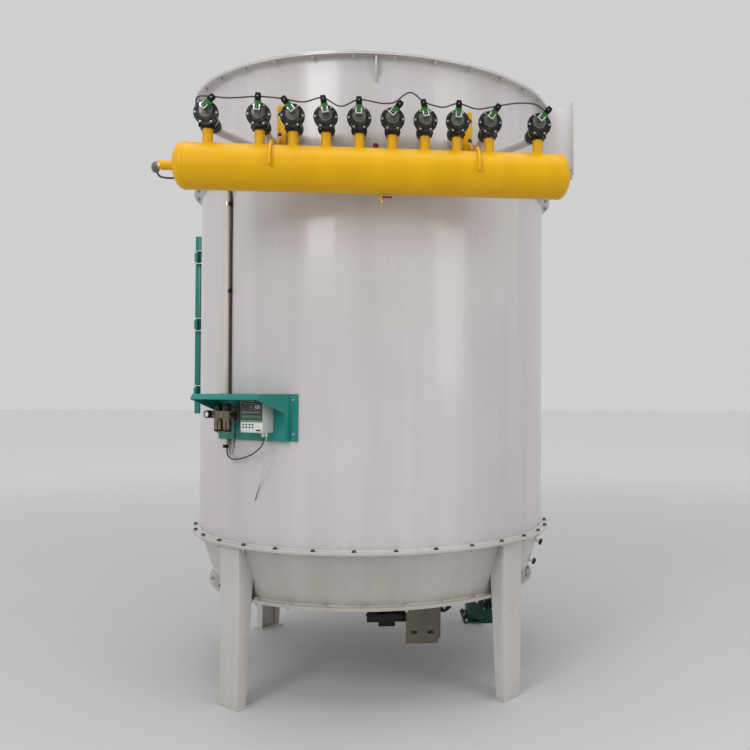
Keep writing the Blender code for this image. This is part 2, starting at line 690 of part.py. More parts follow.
def make_ducts(parent):
    """The clean-air outlet on the right and the tangential dust inlet at the back."""
    inside = SHELL_RADIUS / 2
    outlet = outlet_space(0, inside, OUTLET_REACH)
    wide = outlet_space(-DUCT_FLANGE, OUTLET_REACH - DUCT_FLANGE_THICKNESS, OUTLET_REACH)
    outlet = combined(outlet, [wide])
    hole = outlet_space(DUCT_WALL, inside - 0.1, OUTLET_REACH + 0.1)
    body = solid_of_shell(PLENUM_FOOT, ROOF_TOP, SHELL_RADIUS + GAP)
    finished("outlet_duct", cut(outlet, hole, body), "enamel", parent)
    inside = SHELL_RADIUS / 7
    inlet = inlet_space(0, inside, INLET_REACH)
    wide = inlet_space(-DUCT_FLANGE, INLET_REACH - DUCT_FLANGE_THICKNESS, INLET_REACH)
    inlet = combined(inlet, [wide])
    hole = inlet_space(DUCT_WALL, inside - 0.05, INLET_REACH + 0.1)
    body = solid_of_shell(CASING_FOOT, CASING_TOP, SHELL_RADIUS + GAP)
    finished("inlet_duct", cut(inlet, hole, body), "enamel", parent)


def hanger_outline():
    """A hanger plate from the header's axis: (back from the axis, up from the axis)."""
    outer = HEADER_RADIUS + HANGER_RISE
    turns = [math.radians(turn) for turn in range(-6, 79, 12)]
    seat = HEADER_FORWARD - BRACKET_FORWARD - GAP
    outline = [(-outer * math.cos(turn), outer * math.sin(turn)) for turn in turns]
    outline += [(0.181, 0.172), (seat - 0.035, 0.222), (seat, 0.227), (seat, 0.152)]
    return outline + [(0.161, 0.097), (0.091, 0.057), (0.031, 0.027), (-0.049, -0.013)]


def header_room(half_length=0.1):
    """The middle of the tank with a gap round it, which the fittings are cut to."""
    low, high = [(x, -HEADER_FORWARD, HEADER_HEIGHT) for x in (-half_length, half_length)]
    return rod(low, high, HEADER_RADIUS + GAP, 24)


def make_header(parent):
    """The compressed-air tank with dished ends, its stubs, its inlet nipple and its hanger plates."""
    centre = Matrix.Translation((0, -HEADER_FORWARD, HEADER_HEIGHT))
    along_x = centre @ Matrix.Rotation(math.radians(90), 4, "Y")
    straight = HEADER_LENGTH / 2 - HEADER_DISH
    turns = [math.radians(turn) for turn in (90, 72, 54, 36, 18, 0)]
    right = [(HEADER_RADIUS * math.cos(turn), straight + HEADER_DISH * math.sin(turn)) for turn in turns]
    right[0] = (0, straight + HEADER_DISH)
    left = [(radius, -reach) for radius, reach in reversed(right)]
    tank = lathe(right + left, 24, along_x)
    added = []
    for x in valve_places():
        foot = (x, -HEADER_FORWARD, HEADER_HEIGHT + 0.5 * HEADER_RADIUS)
        added.append(rod(foot, (x, -HEADER_FORWARD, STUB_TOP - GAP / 2), STUB_RADIUS))
    end = -HEADER_LENGTH / 2
    added.append(rod((end + 0.03, -HEADER_FORWARD, HEADER_HEIGHT),
                     (end - NIPPLE_LENGTH, -HEADER_FORWARD, HEADER_HEIGHT), NIPPLE_RADIUS))
    for x in (-HANGER_X, HANGER_X):
        place = Matrix.Translation((x, -HEADER_FORWARD, HEADER_HEIGHT)) @ ACROSS
        added.append(prism(hanger_outline(), -HANGER_PLATE / 2, HANGER_PLATE / 2, place))
    finished("header_tank", combined(tank, added), "header_yellow", parent)


def make_header_brackets(parent):
    """The two angle bars on the plenum that carry the header's hanger plates."""
    body = (PLENUM_FOOT, PLENUM_TOP, SHELL_RADIUS + GAP)
    for name, side in (("header_bracket_left", -1), ("header_bracket_right", 1)):
        outer_x = HANGER_X + BRACKET_EDGE
        low, high = sorted((side * (outer_x - BRACKET_WIDTH), side * outer_x))
        front = -BRACKET_FORWARD
        face = box((low, front, BRACKET_FOOT), (high, front + BRACKET_PLATE, BRACKET_TOP))
        inner = low if side > 0 else high
        low, high = sorted((inner, inner + side * BRACKET_PLATE))
        leg = box((low, front + 0.001, BRACKET_FOOT), (high, front + BRACKET_DEPTH, BRACKET_TOP))
        bar = combined(face, [leg])
        bar = cut(bar, solid_of_shell(*body))
        finished(name, bar, "header_yellow", parent)


def make_valve(name, x, coil_turn, parent):
    """A diaphragm pulse valve: bonnet to the front, inlet down on its stub, sleeve on its outlet."""
    centre = Vector((x, -HEADER_FORWARD, BLOW_HEIGHT))
    backwards = along((0, 1, 0), centre)
    profile = [
        (0, -0.068), (0.030, -0.066), (0.038, -0.055), (BONNET_RADIUS, -0.050), (BONNET_RADIUS, -0.034),
        (0.046, -0.030), (0.044, 0.004), (0.028, 0.024), (0.028, 0.045), (SLEEVE_RADIUS, 0.047),
        (SLEEVE_RADIUS, SLEEVE_END), (0, SLEEVE_END),
    ]
    body = lathe(profile, 12, backwards)
    neck = [(0, 0), (0.0355, 0), (0.0355, 0.018), (0.028, 0.026), (0.028, 0.05), (0, 0.05)]
    foot = Matrix.Translation((x, -HEADER_FORWARD + 0.004, STUB_TOP + GAP / 2))
    turn = Matrix.Translation(centre) @ Matrix.Rotation(math.radians(coil_turn), 4, "Y")
    coil = box((-0.016, -0.104, -0.013), (0.016, -0.062, 0.036), turn)
    plug = box((-0.012, -0.098, 0.035), (0.012, -0.070, 0.066), turn)
    finished(name, combined(body, [lathe(neck, 10, foot), coil, plug]), "cast_valve", parent)


def make_header_fittings(parent):
    """The safety valve, the drain valve and the inlet elbow on the header."""
    seat_y = -HEADER_FORWARD + RELIEF_OFFSET
    seat_z = HEADER_HEIGHT + math.sqrt(HEADER_RADIUS ** 2 - RELIEF_OFFSET ** 2)
    profile = [(0, 0), (0.012, 0), (0.012, 0.028), (0.008, 0.030), (0.008, 0.044), (0.013, 0.046),
               (0.013, 0.066), (0, 0.070)]
    relief = lathe(profile, 10, Matrix.Translation((0, seat_y, seat_z - 0.008)))
    finished("safety_valve", cut(relief, header_room()), "brass", parent)
    x, front, top = DRAIN_X, -HEADER_FORWARD, HEADER_HEIGHT - HEADER_RADIUS
    drain = lathe([(0, 0.004), (0.009, 0.004), (0.009, -0.010), (0.013, -0.012), (0.013, -0.026),
                   (0.008, -0.028), (0.008, -0.040), (0, -0.040)], 10, Matrix.Translation((x, front, top)))
    lever = [
        box((x, front - 0.019, top - 0.022), (x + 0.012, front - 0.010, top - 0.016)),
        box((x - 0.003, front - 0.019, top - 0.022), (x + 0.048, front - 0.016, top - 0.012)),
    ]
    finished("drain_valve", cut(combined(drain, lever), header_room()), "brass", parent)
    path = [elbow_start() + Vector(step) for step in (
        (0, 0, 0), (-0.018, 0, 0), (-0.031, 0.010, -0.002), (-0.034, 0.030, -0.008), (-0.034, 0.046, -0.012),
    )]
    finished("header_elbow", bent_pipe(path, ELBOW_RADIUS, 10), "motor_black", parent)


def elbow_start():
    """Where the inlet elbow meets the header's nipple."""
    return Vector((-HEADER_LENGTH / 2 - NIPPLE_LENGTH - GAP, -HEADER_FORWARD, HEADER_HEIGHT))


def make_conduit(parent):
    """The rigid cable conduit down the casing, held by saddle clamps."""
    here = station(CONDUIT_AZIMUTH)
    foot, head = [here @ Vector((0, -CONDUIT_OUT, height)) for height in (CONDUIT_FOOT, CONDUIT_TOP)]
    pipe = rod(foot, head, CONDUIT_RADIUS, 10)
    saddles = []
    for drop in CLAMP_DROPS:
        height = CONDUIT_TOP - drop
        saddles.append(box((-0.030, -CONDUIT_OUT - 0.004, height - 0.009),
                           (0.0, -SHELL_RADIUS + 0.01, height + 0.009), here))
    pipe = combined(pipe, saddles)
    casing = solid_of_shell(CASING_FOOT + 0.02, CASING_TOP - 0.02, SHELL_RADIUS + GAP)
    finished("conduit", cut(pipe, casing), "conduit_beige", parent)


def make_shelf(parent):
    """The folded instrument shelf: hat-section back, hood with a lip, and two gussets."""
    here = station(SHELF_AZIMUTH)
    half, sheet = SHELF_HALF_WIDTH, SHELF_SHEET
    wide = half + SHELF_FLANGE
    seat = math.sqrt(SHELL_RADIUS ** 2 - (half + SHELF_FLANGE / 2) ** 2) - 0.004
    front, step = -seat - SHELF_FLANGE_THICKNESS, half + sheet
    outline = [
        (-wide, -seat), (-half, -seat), (-half, -SHELF_FACE + sheet), (half, -SHELF_FACE + sheet),
        (half, -seat), (wide, -seat), (wide, front), (step, front), (step, -SHELF_FACE),
        (-step, -SHELF_FACE), (-step, front), (-wide, front),
    ]
    back = prism(outline, SHELF_FOOT, SHELF_TOP, here)
    top = SHELF_TOP - STEP
    hood = box((-step + STEP, -HOOD_REACH + STEP, top - sheet), (step - STEP, -SHELF_FACE + 0.001, top), here)
    lip = box((-step + 2 * STEP, -HOOD_REACH, top - HOOD_LIP),
              (step - 2 * STEP, -HOOD_REACH + sheet, top - STEP), here)
    shapes = [hood, lip]
    gusset = [
        (-SHELF_FACE + 0.001, top - STEP),
        (-HOOD_REACH + 2 * STEP, top - STEP),
        (-HOOD_REACH + 2 * STEP, top - HOOD_LIP + STEP),
        (-SHELF_FACE + 0.001, top - GUSSET_DROP),
    ]
    for low in (-step + 3 * STEP, step - 3 * STEP - sheet):
        shapes.append(prism(gusset, low, low + sheet, here @ ACROSS))
    shelf = combined(back, shapes)
    casing = solid_of_shell(CASING_FOOT + 0.02, CASING_TOP - 0.02, SHELL_RADIUS + GAP)
    finished("instrument_shelf", cut(shelf, casing), "teal", parent)


def make_instruments(parent):
    """The air filter with its regulator, and the controller box, on the shelf's back."""
    here = station(SHELF_AZIMUTH, SHELF_FOOT)
    face = SHELF_FACE + GAP
    row = -face - 0.084
    head = box((-0.205, row - 0.021, 0.114), (-0.052, row + 0.022, 0.154), here)
    shapes = [
        box((-0.150, -face - 0.070, 0.118), (-0.110, -face, 0.150), here),
        box((-0.180, -face - 0.004, 0.097), (-0.080, -face, 0.172), here),
    ]
    for x in (-0.148, -0.086):
        place = here @ Matrix.Translation((x, row, 0))
        bowl = [(0, 0.040), (0.010, 0.040), (0.018, 0.050), (0.021, 0.072), (0.021, 0.116), (0, 0.116)]
        cap = [(0, 0.152), (0.019, 0.152), (0.019, 0.186), (0.015, 0.192), (0, 0.192)]
        shapes += [lathe(bowl, 12, place), lathe(cap, 12, place)]
    outwards = here.to_3x3() @ Vector((0, -1, 0))
    dial = [(0, -0.001), (0.019, -0.001), (0.021, 0.004), (0.021, 0.022), (0, 0.022)]
    shapes.append(lathe(dial, 14, along(outwards, here @ Vector((-0.195, row - 0.020, 0.135)))))
    elbow = [(-0.060, row, 0.134), (-0.028, row, 0.134), (-0.028, row, 0.107)]
    shapes.append(bent_pipe([here @ Vector(point) for point in elbow], 0.009, 8))
    finished("filter_regulator", combined(head, shapes), "grey_plastic", parent)
    low, high = (0.004, -face - 0.078, 0.044), (0.162, -face, 0.208)
    case = box(low, high, here)
    lid = box((low[0] + 0.004, low[1] - 0.006, low[2] + 0.062),
              (high[0] - 0.004, low[1] + 0.001, high[2] - 0.004), here)
    glands = [rod(here @ Vector((x, -face - 0.040, 0.046)), here @ Vector((x, -face - 0.040, 0.022)), radius, 8)
              for x, radius in ((0.128, 0.009), (0.150, 0.006))]
    finished("controller_box", combined(case, [lid] + glands), "grey_plastic", parent)


def make_drive(parent):
    """The folded drive bracket under the floor with the geared motor behind it."""
    top = FLOOR_UNDERSIDE - GAP
    x0, x1 = DRIVE_PLATE_LEFT, DRIVE_PLATE_LEFT + DRIVE_PLATE_WIDTH
    y0, thick = -DRIVE_PLATE_FORWARD, DRIVE_PLATE_THICKNESS
    foot = FLOOR_UNDERSIDE - DRIVE_PLATE_HEIGHT
    corner = x1 - 0.014
    outline = [(x0, foot), (corner, foot), (corner, foot + 0.018), (x1, foot + 0.036), (x1, top), (x0, top)]
    upright = Matrix(((1, 0, 0, 0), (0, 0, 1, 0), (0, 1, 0, 0), (0, 0, 0, 1)))
    plate = prism(outline, y0, y0 + thick, upright)
    flange = box((x0, y0 + 0.001, foot), (x0 + thick, y0 + 0.028, top))
    shelf = box((x0 + 0.001, y0 + 0.001, top - thick), (x1 - 0.001, y0 + 0.070, top))
    slots = []
    for x in (x0 + 0.048, x1 - 0.056):
        slots.append(box((x - 0.018, y0 - 0.01, foot + 0.056), (x + 0.018, y0 + 0.02, foot + 0.071)))
    finished("drive_bracket", cut(combined(plate, [flange, shelf]), *slots), "enamel", parent)
    back, axis_z = y0 + thick + GAP, FLOOR_UNDERSIDE - MOTOR_AXIS_DROP
    gearbox = box((x0 + 0.020, back, axis_z - 0.087), (x1 - 0.020, back + 0.165, top - thick - 0.012))
    r, end, rear = MOTOR_RADIUS, x0 + 0.035, x0 + 0.035 - MOTOR_LENGTH
    at = Matrix.Translation((0, MOTOR_AXIS_Y, axis_z)) @ Matrix.Rotation(math.radians(90), 4, "Y")
    motor = [(0, rear), (r - 0.014, rear), (r - 0.004, rear + 0.010), (r - 0.004, rear + 0.070),
             (r, rear + 0.072), (r, end - 0.060), (r - 0.02, end - 0.050), (r - 0.02, end), (0, end)]
    cover = [(0, x1 - 0.027), (0.060, x1 - 0.027), (0.060, x1 + 0.048), (0.048, x1 + 0.070), (0, x1 + 0.070)]
    terminal = box((rear + 0.080, MOTOR_AXIS_Y - 0.045, axis_z - r - 0.052),
                   (rear + 0.180, MOTOR_AXIS_Y + 0.045, axis_z - r + 0.016))
    middle = (x0 + x1) / 2
    shaft = rod((middle, MOTOR_AXIS_Y, top - thick - 0.020), (middle, MOTOR_AXIS_Y, top), 0.020)
    shapes = [lathe(motor, 16, at), lathe(cover, 12, at), terminal, shaft]
    finished("gearmotor", combined(gearbox, shapes), "motor_black", parent)


def make_airlock(parent):
    """The ribbed rotary airlock under the floor, with its square flanges and an open mouth."""
    cx, cy = AIRLOCK_CENTRE
    half, top, foot = AIRLOCK_SIDE / 2, FLOOR_UNDERSIDE - GAP, FLOOR_UNDERSIDE - AIRLOCK_HEIGHT
    middle = (top + foot) / 2
    flange = box((cx - half, cy - half, top - 0.012), (cx + half, cy + half, top))
    lower = box((cx - half, cy - half, foot), (cx + half, cy + half, foot + 0.012))
    neck = box((cx - half + 0.035, cy - half + 0.030, foot + 0.001),
               (cx + half - 0.035, cy + half - 0.030, top - 0.001))
    along_y = Matrix.Translation((cx, cy, middle)) @ Matrix.Rotation(math.radians(-90), 4, "X")
    drum, rib = AIRLOCK_DRUM_RADIUS, AIRLOCK_DRUM_RADIUS + 0.012
    drum = lathe([(0, -half + 0.01), (drum, -half + 0.01), (drum, half - 0.01), (0, half - 0.01)], 20, along_y)
    ribs = [lathe([(0, y - 0.005), (rib, y - 0.005), (rib, y + 0.005), (0, y + 0.005)], 20, along_y)
            for y in (-half + 0.012, 0, half - 0.012)]
    boss = [(0, -half - 0.022), (0.036, -half - 0.022), (0.040, -half + 0.02), (0, -half + 0.02)]
    body = combined(flange, [lower, neck, drum, lathe(boss, 12, along_y)] + ribs)
    mouth = box((cx - 0.075, cy - 0.080, foot - 0.01), (cx + 0.075, cy + 0.080, foot + 0.050))
    finished("rotary_airlock", cut(body, mouth), "airlock_green", parent)


def make_hatch(parent):
    """The clean-out hatch on the hopper with its two star knobs."""
    slope = (SHELL_RADIUS - HOPPER_FOOT_RADIUS) / (HOPPER_TOP - HOPPER_FOOT)

    def wall(height):
        """The hopper's outer radius at a height."""
        return HOPPER_FOOT_RADIUS + slope * (height - HOPPER_FOOT)

    low, high = HOPPER_FOOT + HATCH_FOOT_MARGIN, HOPPER_TOP - HATCH_TOP_MARGIN
    inner, outer = [[(wall(height) + out, height) for height in (low, high)] for out in (GAP, HATCH_THICKNESS)]
    hatch = shell_part(inner + outer[::-1], *HATCH_SPAN)
    knobs = []
    for rise in (HATCH_KNOB_RISE, HATCH_KNOB_RISE + HATCH_KNOB_SPACING):
        here, height = station(HATCH_KNOB_AZIMUTH), HOPPER_FOOT + rise
        post = here @ Vector((0, -wall(height) - HATCH_THICKNESS + 0.004, height))
        outwards = here.to_3x3() @ Vector((0, -1, -slope))
        knobs.append(lathe([(0, 0), (0.016, 0), (0.016, 0.020), (0.009, 0.022), (0.009, 0.034), (0.022, 0.038),
                            (0.022, 0.052), (0, 0.056)], 10, along(outwards, post)))
    finished("hopper_hatch", combined(hatch, knobs), "enamel", parent)


def shelf_route(points):
    """Route points given beside the shelf as (along the shell, out from the axis, height)."""
    return [station(SHELF_AZIMUTH) @ Vector((x, -out, z)) for x, out, z in points]


def make_cords(parent):
    """The cables and hoses, each along its real route."""
    top = polar(CONDUIT_AZIMUTH, CONDUIT_OUT, CONDUIT_TOP + GAP)
    foot = polar(CONDUIT_AZIMUTH, CONDUIT_OUT, CONDUIT_FOOT - GAP)
    row = -HEADER_FORWARD - 0.084
    route = [top, top + Vector((0, 0, 0.014)), top + Vector((-0.004, -0.005, 0.026)), (-0.811, -0.753, 2.820),
             (-0.840, -0.790, 2.838), (-0.858, -0.880, 2.900), (-0.865, -1.020, 2.975), (-0.856, -1.190, 3.025),
             (-0.830, -1.320, 3.043)]
    route += [(x, row, z) for x, z in (
        (-0.770, 3.037), (-0.677, 3.032), (-0.548, 3.0435), (-0.440, 3.039), (-0.338, 3.026),
        (-0.250, 3.0495), (-0.165, 3.012), (-0.081, 3.0470), (0.025, 3.034), (0.130, 3.052),
        (0.161, 3.082), (0.218, 3.048), (0.318, 3.026), (0.389, 3.0470), (0.480, 3.024),
        (0.580, 3.043), (0.680, 3.060), (0.755, 3.060), (0.790, 3.040),
    )]
    tilt = math.radians(COIL_TURNS[-1])
    side = Vector((math.cos(tilt), 0, -math.sin(tilt)))
    up = Vector((math.sin(tilt), 0, math.cos(tilt)))
    last = Vector((ROW_X[-1], row, BLOW_HEIGHT)) + 0.052 * up - (0.012 + GAP) * side
    cord("valve_cable", route + [last], VALVE_CABLE_RADIUS, "black_rubber", parent)

    ahead = Vector((0, 0.97, -0.2425))
    start = elbow_start() + Vector((-0.034, 0.046, -0.012)) + GAP * ahead
    behind = polar(HOSE_AZIMUTH, SHELL_RADIUS + CONDUIT_STANDOFF + HOSE_RADIUS)
    route = [start, start + 0.03 * ahead, start + Vector((0.004, 0.072, -0.014)), (-0.995, -1.050, 2.730),
             (-0.912, -0.925, 2.775), (-0.838, -0.822, 2.797), (-0.790, -0.754, 2.772)]
    route += [(behind.x, behind.y, z) for z in (2.705, 2.45, 2.10, 1.75, 1.45)]
    route += shelf_route([
        (-0.172, 1.049, 1.388), (-0.148, 1.072, 1.355), (-0.105, 1.105, 1.345), (-0.060, 1.135, 1.357),
        (-0.034, 1.1493, 1.395), (-0.028, 1.1493, 1.455), (-0.028, 1.1493, 1.5247),
    ])
    cord("air_hose", route, HOSE_RADIUS, "black_rubber", parent)

    route = shelf_route([
        (0.128, 1.1053, 1.4397), (0.127, 1.105, 1.415), (0.102, 1.100, 1.385), (0.030, 1.090, 1.345),
        (-0.060, 1.080, 1.320), (-0.130, 1.064, 1.313), (-0.178, 1.050, 1.324),
    ])
    below = foot - Vector((0, 0, 0.022))
    cord("control_cable", route + [below, foot], CONTROL_CABLE_RADIUS, "black_rubber", parent)

    route = shelf_route([
        (0.150, 1.1053, 1.4397), (0.149, 1.105, 1.410), (0.141, 1.100, 1.360), (0.120, 1.086, 1.300),
        (0.090, 1.072, 1.240), (0.060, 1.062, 1.180), (0.035, 1.056, 1.130), (0.022, 1.054, 1.106),
    ])
    cord("supply_lead", route, LEAD_RADIUS, "black_rubber", parent)


def make_collector():
    """Every piece, about the body axis."""
    root = bpy.data.objects.new("collector", None)
    bpy.context.collection.objects.link(root)
    make_plenum(root)
    make_blow_tubes(root)
    make_roof(root)
    make_tube_sheet(root)
    make_casing(root)
    make_door_frame(root)
    make_door(root)
    make_hopper(root)
    for name, azimuth in LEG_AZIMUTHS.items():
        make_leg(f"leg_{name}", azimuth, root)
    make_ducts(root)
    make_header(root)
    make_header_brackets(root)
    for number, (x, coil_turn) in enumerate(zip(valve_places(), COIL_TURNS), 1):
        make_valve(f"valve_{number}", x, coil_turn, root)
    make_header_fittings(root)
    make_conduit(root)
    make_shelf(root)
    make_instruments(root)
    make_drive(root)
    make_airlock(root)
    make_hatch(root)
    make_cords(root)
    return root


def centre_footprint(root):
    """Moves the collector so that the middle of its footprint, cords aside, is the origin."""
    bpy.context.view_layer.update()
    corners = [thing.matrix_world @ Vector(corner) for thing in bpy.data.objects if thing.type == "MESH"
               for corner in thing.bound_box]
    for axis in (0, 1):
        places = [corner[axis] for corner in corners]
        root.location[axis] = -(min(places) + max(places)) / 2


for old in list(bpy.data.objects):
    bpy.data.objects.remove(old)
centre_footprint(make_collector())
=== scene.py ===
"""The looks of a round, flat-bottomed, pulse-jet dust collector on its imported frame.

Everything is in metres with +Z up. Places are given about the collector's own vertical axis, which
stands over the middle of the roof plate, and are moved to it when a piece is finished. An azimuth is in
degrees from the front and grows towards +X. In a station, x runs along the shell, -y points outwards
and z is the height.
"""

from __future__ import annotations

import logging
from dataclasses import dataclass, field
from enum import Enum
from math import copysign, cos, pi, radians, sin, sqrt
from typing import Callable, Iterable, Optional, Sequence

import bmesh
import bpy
from mathutils import Matrix, Vector


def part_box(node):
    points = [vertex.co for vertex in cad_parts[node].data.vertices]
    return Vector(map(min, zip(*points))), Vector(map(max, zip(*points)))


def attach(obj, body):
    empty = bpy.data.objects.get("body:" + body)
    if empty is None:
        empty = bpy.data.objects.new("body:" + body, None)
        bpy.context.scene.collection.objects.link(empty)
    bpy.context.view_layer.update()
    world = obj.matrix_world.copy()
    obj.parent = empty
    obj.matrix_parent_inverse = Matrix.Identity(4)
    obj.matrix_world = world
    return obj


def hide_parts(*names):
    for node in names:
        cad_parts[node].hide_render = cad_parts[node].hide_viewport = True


LOG = logging.getLogger("dust_collector")

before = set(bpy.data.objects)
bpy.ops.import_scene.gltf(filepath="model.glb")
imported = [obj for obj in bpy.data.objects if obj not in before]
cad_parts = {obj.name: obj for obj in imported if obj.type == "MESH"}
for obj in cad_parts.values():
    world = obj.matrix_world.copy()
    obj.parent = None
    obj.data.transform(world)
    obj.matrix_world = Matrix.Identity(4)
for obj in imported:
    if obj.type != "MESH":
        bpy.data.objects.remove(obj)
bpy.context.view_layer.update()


def body_axis() -> Vector:
    """The foot of the collector's vertical axis, in the row's frame."""
    low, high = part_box("roof_plate")
    return Vector(((low.x + high.x) / 2, (low.y + high.y) / 2, 0))


AXIS = body_axis()
GAP = 0.0003
SMOOTH_TO = radians(35)
BEVEL_FROM = radians(33)
SOFTEN_FROM = radians(34)
PLAIN_HEAD = 0.0005
OUTWARDS = Vector((0, -1, 0))
ELBOW = (-0.034, 0.046, -0.012)
ELBOW_AHEAD = Vector((0, 0.97, -0.2425))
Point = tuple[float, float]
Place = Sequence[float]
Colour = tuple[float, float, float]


class Body(Enum):
    """The two bodies of the frame."""

    COLLECTOR = "collector"
    DOOR = "door"


class Facing(Enum):
    """Which way a fastener's head looks."""

    UP = (0.0, 0.0, 1.0)
    DOWN = (0.0, 0.0, -1.0)
    FRONT = (0.0, -1.0, 0.0)


def linear(colour: Sequence[int]) -> Colour:
    """A colour as a shader takes it.

    Args:
        colour: Red, green and blue as a screen shows them, 0 to 255.

    Returns:
        The three values in linear light.
    """
    shares = [level / 255 for level in colour]
    return tuple(share / 12.92 if share <= 0.04045 else ((share + 0.055) / 1.055) ** 2.4
        for share in shares)


def polar(azimuth: float, radius: float, height: float = 0.0) -> Vector:
    """The point at this azimuth from the front, about the collector's axis."""
    turn = radians(azimuth)
    return Vector((radius * sin(turn), -radius * cos(turn), height))


def station(azimuth: float, height: float = 0.0) -> Matrix:
    """The frame whose x runs along the shell at this azimuth, with -y pointing outwards."""
    return moved(0, 0, height) @ turned_by(azimuth, "Z")


def moved(x: float, y: float, z: float) -> Matrix:
    """A move."""
    return Matrix.Translation((x, y, z))


def turned_by(angle: float, axis: str) -> Matrix:
    """A turn in degrees about one of the axes."""
    return Matrix.Rotation(radians(angle), 4, axis)


def turns(count: int, phase: float = 0.0) -> list[Matrix]:
    """Even turns about z, the first of them by this share of a step."""
    return [turned_by(360 * (i + phase) / count, "Z") for i in range(count)]


def along(axis: Place, point: Place = (0, 0, 0)) -> Matrix:
    """The frame at a point whose z runs along a direction."""
    return Matrix.Translation(point) @ Vector(axis).to_track_quat("Z", "Y").to_matrix().to_4x4()


class Signal:
    """A shader socket that takes part in Python sums."""

    def __init__(self, desk: "Desk", socket: bpy.types.NodeSocket) -> None:
        """Keeps the socket and the desk that its nodes are made on."""
        self.desk = desk
        self.socket = socket

    def _math(self, operation: str, *values: object) -> "Signal":
        """One Math node on one or two values."""
        return self.desk.node("ShaderNodeMath", {"operation": operation}, dict(enumerate(values)))

    def __add__(self, other: object) -> "Signal":
        """The sum."""
        return self._math("ADD", self, other)

    __radd__ = __add__

    def __sub__(self, other: object) -> "Signal":
        """The difference."""
        return self._math("SUBTRACT", self, other)

    def __rsub__(self, other: object) -> "Signal":
        """The difference the other way round, as in 1 - mask."""
        return self._math("SUBTRACT", other, self)

    def __mul__(self, other: object) -> "Signal":
        """The product."""
        return self._math("MULTIPLY", self, other)

    __rmul__ = __mul__

    def at_least(self, other: object) -> "Signal":
        """The larger of the two."""
        return self._math("MAXIMUM", self, other)

    def size(self) -> "Signal":
        """The value without its sign."""
        return self._math("ABSOLUTE", self)


def feed(tree: bpy.types.NodeTree, value: object, socket: bpy.types.NodeSocket) -> None:
    """Links a signal or a socket into an input, or sets the input to a plain value."""
    source = value.socket if isinstance(value, Signal) else value
    if isinstance(source, bpy.types.NodeSocket):
        tree.links.new(source, socket)
    else:
        socket.default_value = source


def new_node(tree: bpy.types.NodeTree, kind: str, settings: dict, values: dict) -> bpy.types.Node:
    """One node of a tree, with its settings, and its inputs by name or number."""
    made = tree.nodes.new(kind)
    for key, value in settings.items():
        setattr(made, key, value)
    for key, value in values.items():
        feed(tree, value, made.inputs[key])
    return made


class Desk:
    """The node tree of one material, with one method that makes every node."""

    def __init__(self, name: str) -> None:
        """Opens a material with its own shader and Object coordinates."""
        self.material = bpy.data.materials.new(name)
        self.material.use_nodes = True
        self.tree = self.material.node_tree
        self.shader = self.tree.nodes["Principled BSDF"]
        self.place = self.node("ShaderNodeTexCoord", {}, {}, "Object")

    def node(self, kind: str, settings: dict, values: dict, output: object = 0) -> Signal:
        """Makes a node.

        Args:
            kind: The node's type.
            settings: Its own settings.
            values: Its inputs by name or number, each a Signal or a plain value.
            output: The name or number of the output to return.

        Returns:
            The chosen output.
        """
        return Signal(self, new_node(self.tree, kind, settings, values).outputs[output])

    def height(self) -> Signal:
        """The height above the floor."""
        return self.node("ShaderNodeSeparateXYZ", {}, {0: self.place}, 2)

    def stretched(self, x: float, y: float, z: float) -> Signal:
        """Object coordinates scaled along each axis."""
        return self.node("ShaderNodeMapping", {}, {"Vector": self.place, "Scale": (x, y, z)})

    def noise(self, scale: float, detail: float = 3.0, rough: float = 0.5,
            where: Optional[Signal] = None) -> Signal:
        """Soft noise between 0 and 1, with scale in cells a metre."""
        values = {"Vector": where or self.place, "Scale": scale, "Detail": detail, "Roughness": rough}
        return self.node("ShaderNodeTexNoise", {}, values, "Fac")

    def band(self, value: Signal, low: float, high: float, to_low: float = 0.0,
            to_high: float = 1.0) -> Signal:
        """The value carried smoothly from one range to another."""
        values = {0: value, 1: low, 2: high, 3: to_low, 4: to_high}
        return self.node("ShaderNodeMapRange", {"interpolation_type": "SMOOTHSTEP"}, values)

    def mix(self, share: object, first: object, second: object) -> Signal:
        """A colour between two, given as Signals or as linear colours."""
        def full(colour: object) -> object:
            """A colour with its alpha."""
            return colour if isinstance(colour, Signal) else (*colour, 1.0)

        values = {0: share, 6: full(first), 7: full(second)}
        return self.node("ShaderNodeMix", {"data_type": "RGBA"}, values, 2)

    def bump(self, height: Signal, depth: float, below: Optional[Signal] = None) -> Signal:
        """The surface roughened by a height in metres, over another bump where one is given."""
        values = {"Height": height, "Distance": depth, "Strength": 1.0}
        if below is not None:
            values["Normal"] = below
        return self.node("ShaderNodeBump", {}, values)

    def set(self, **values: object) -> bpy.types.Material:
        """Feeds the shader's inputs, named with underscores, and returns the material."""
        for key, value in values.items():
            feed(self.tree, value, self.shader.inputs[key.replace("_", " ")])
        return self.material


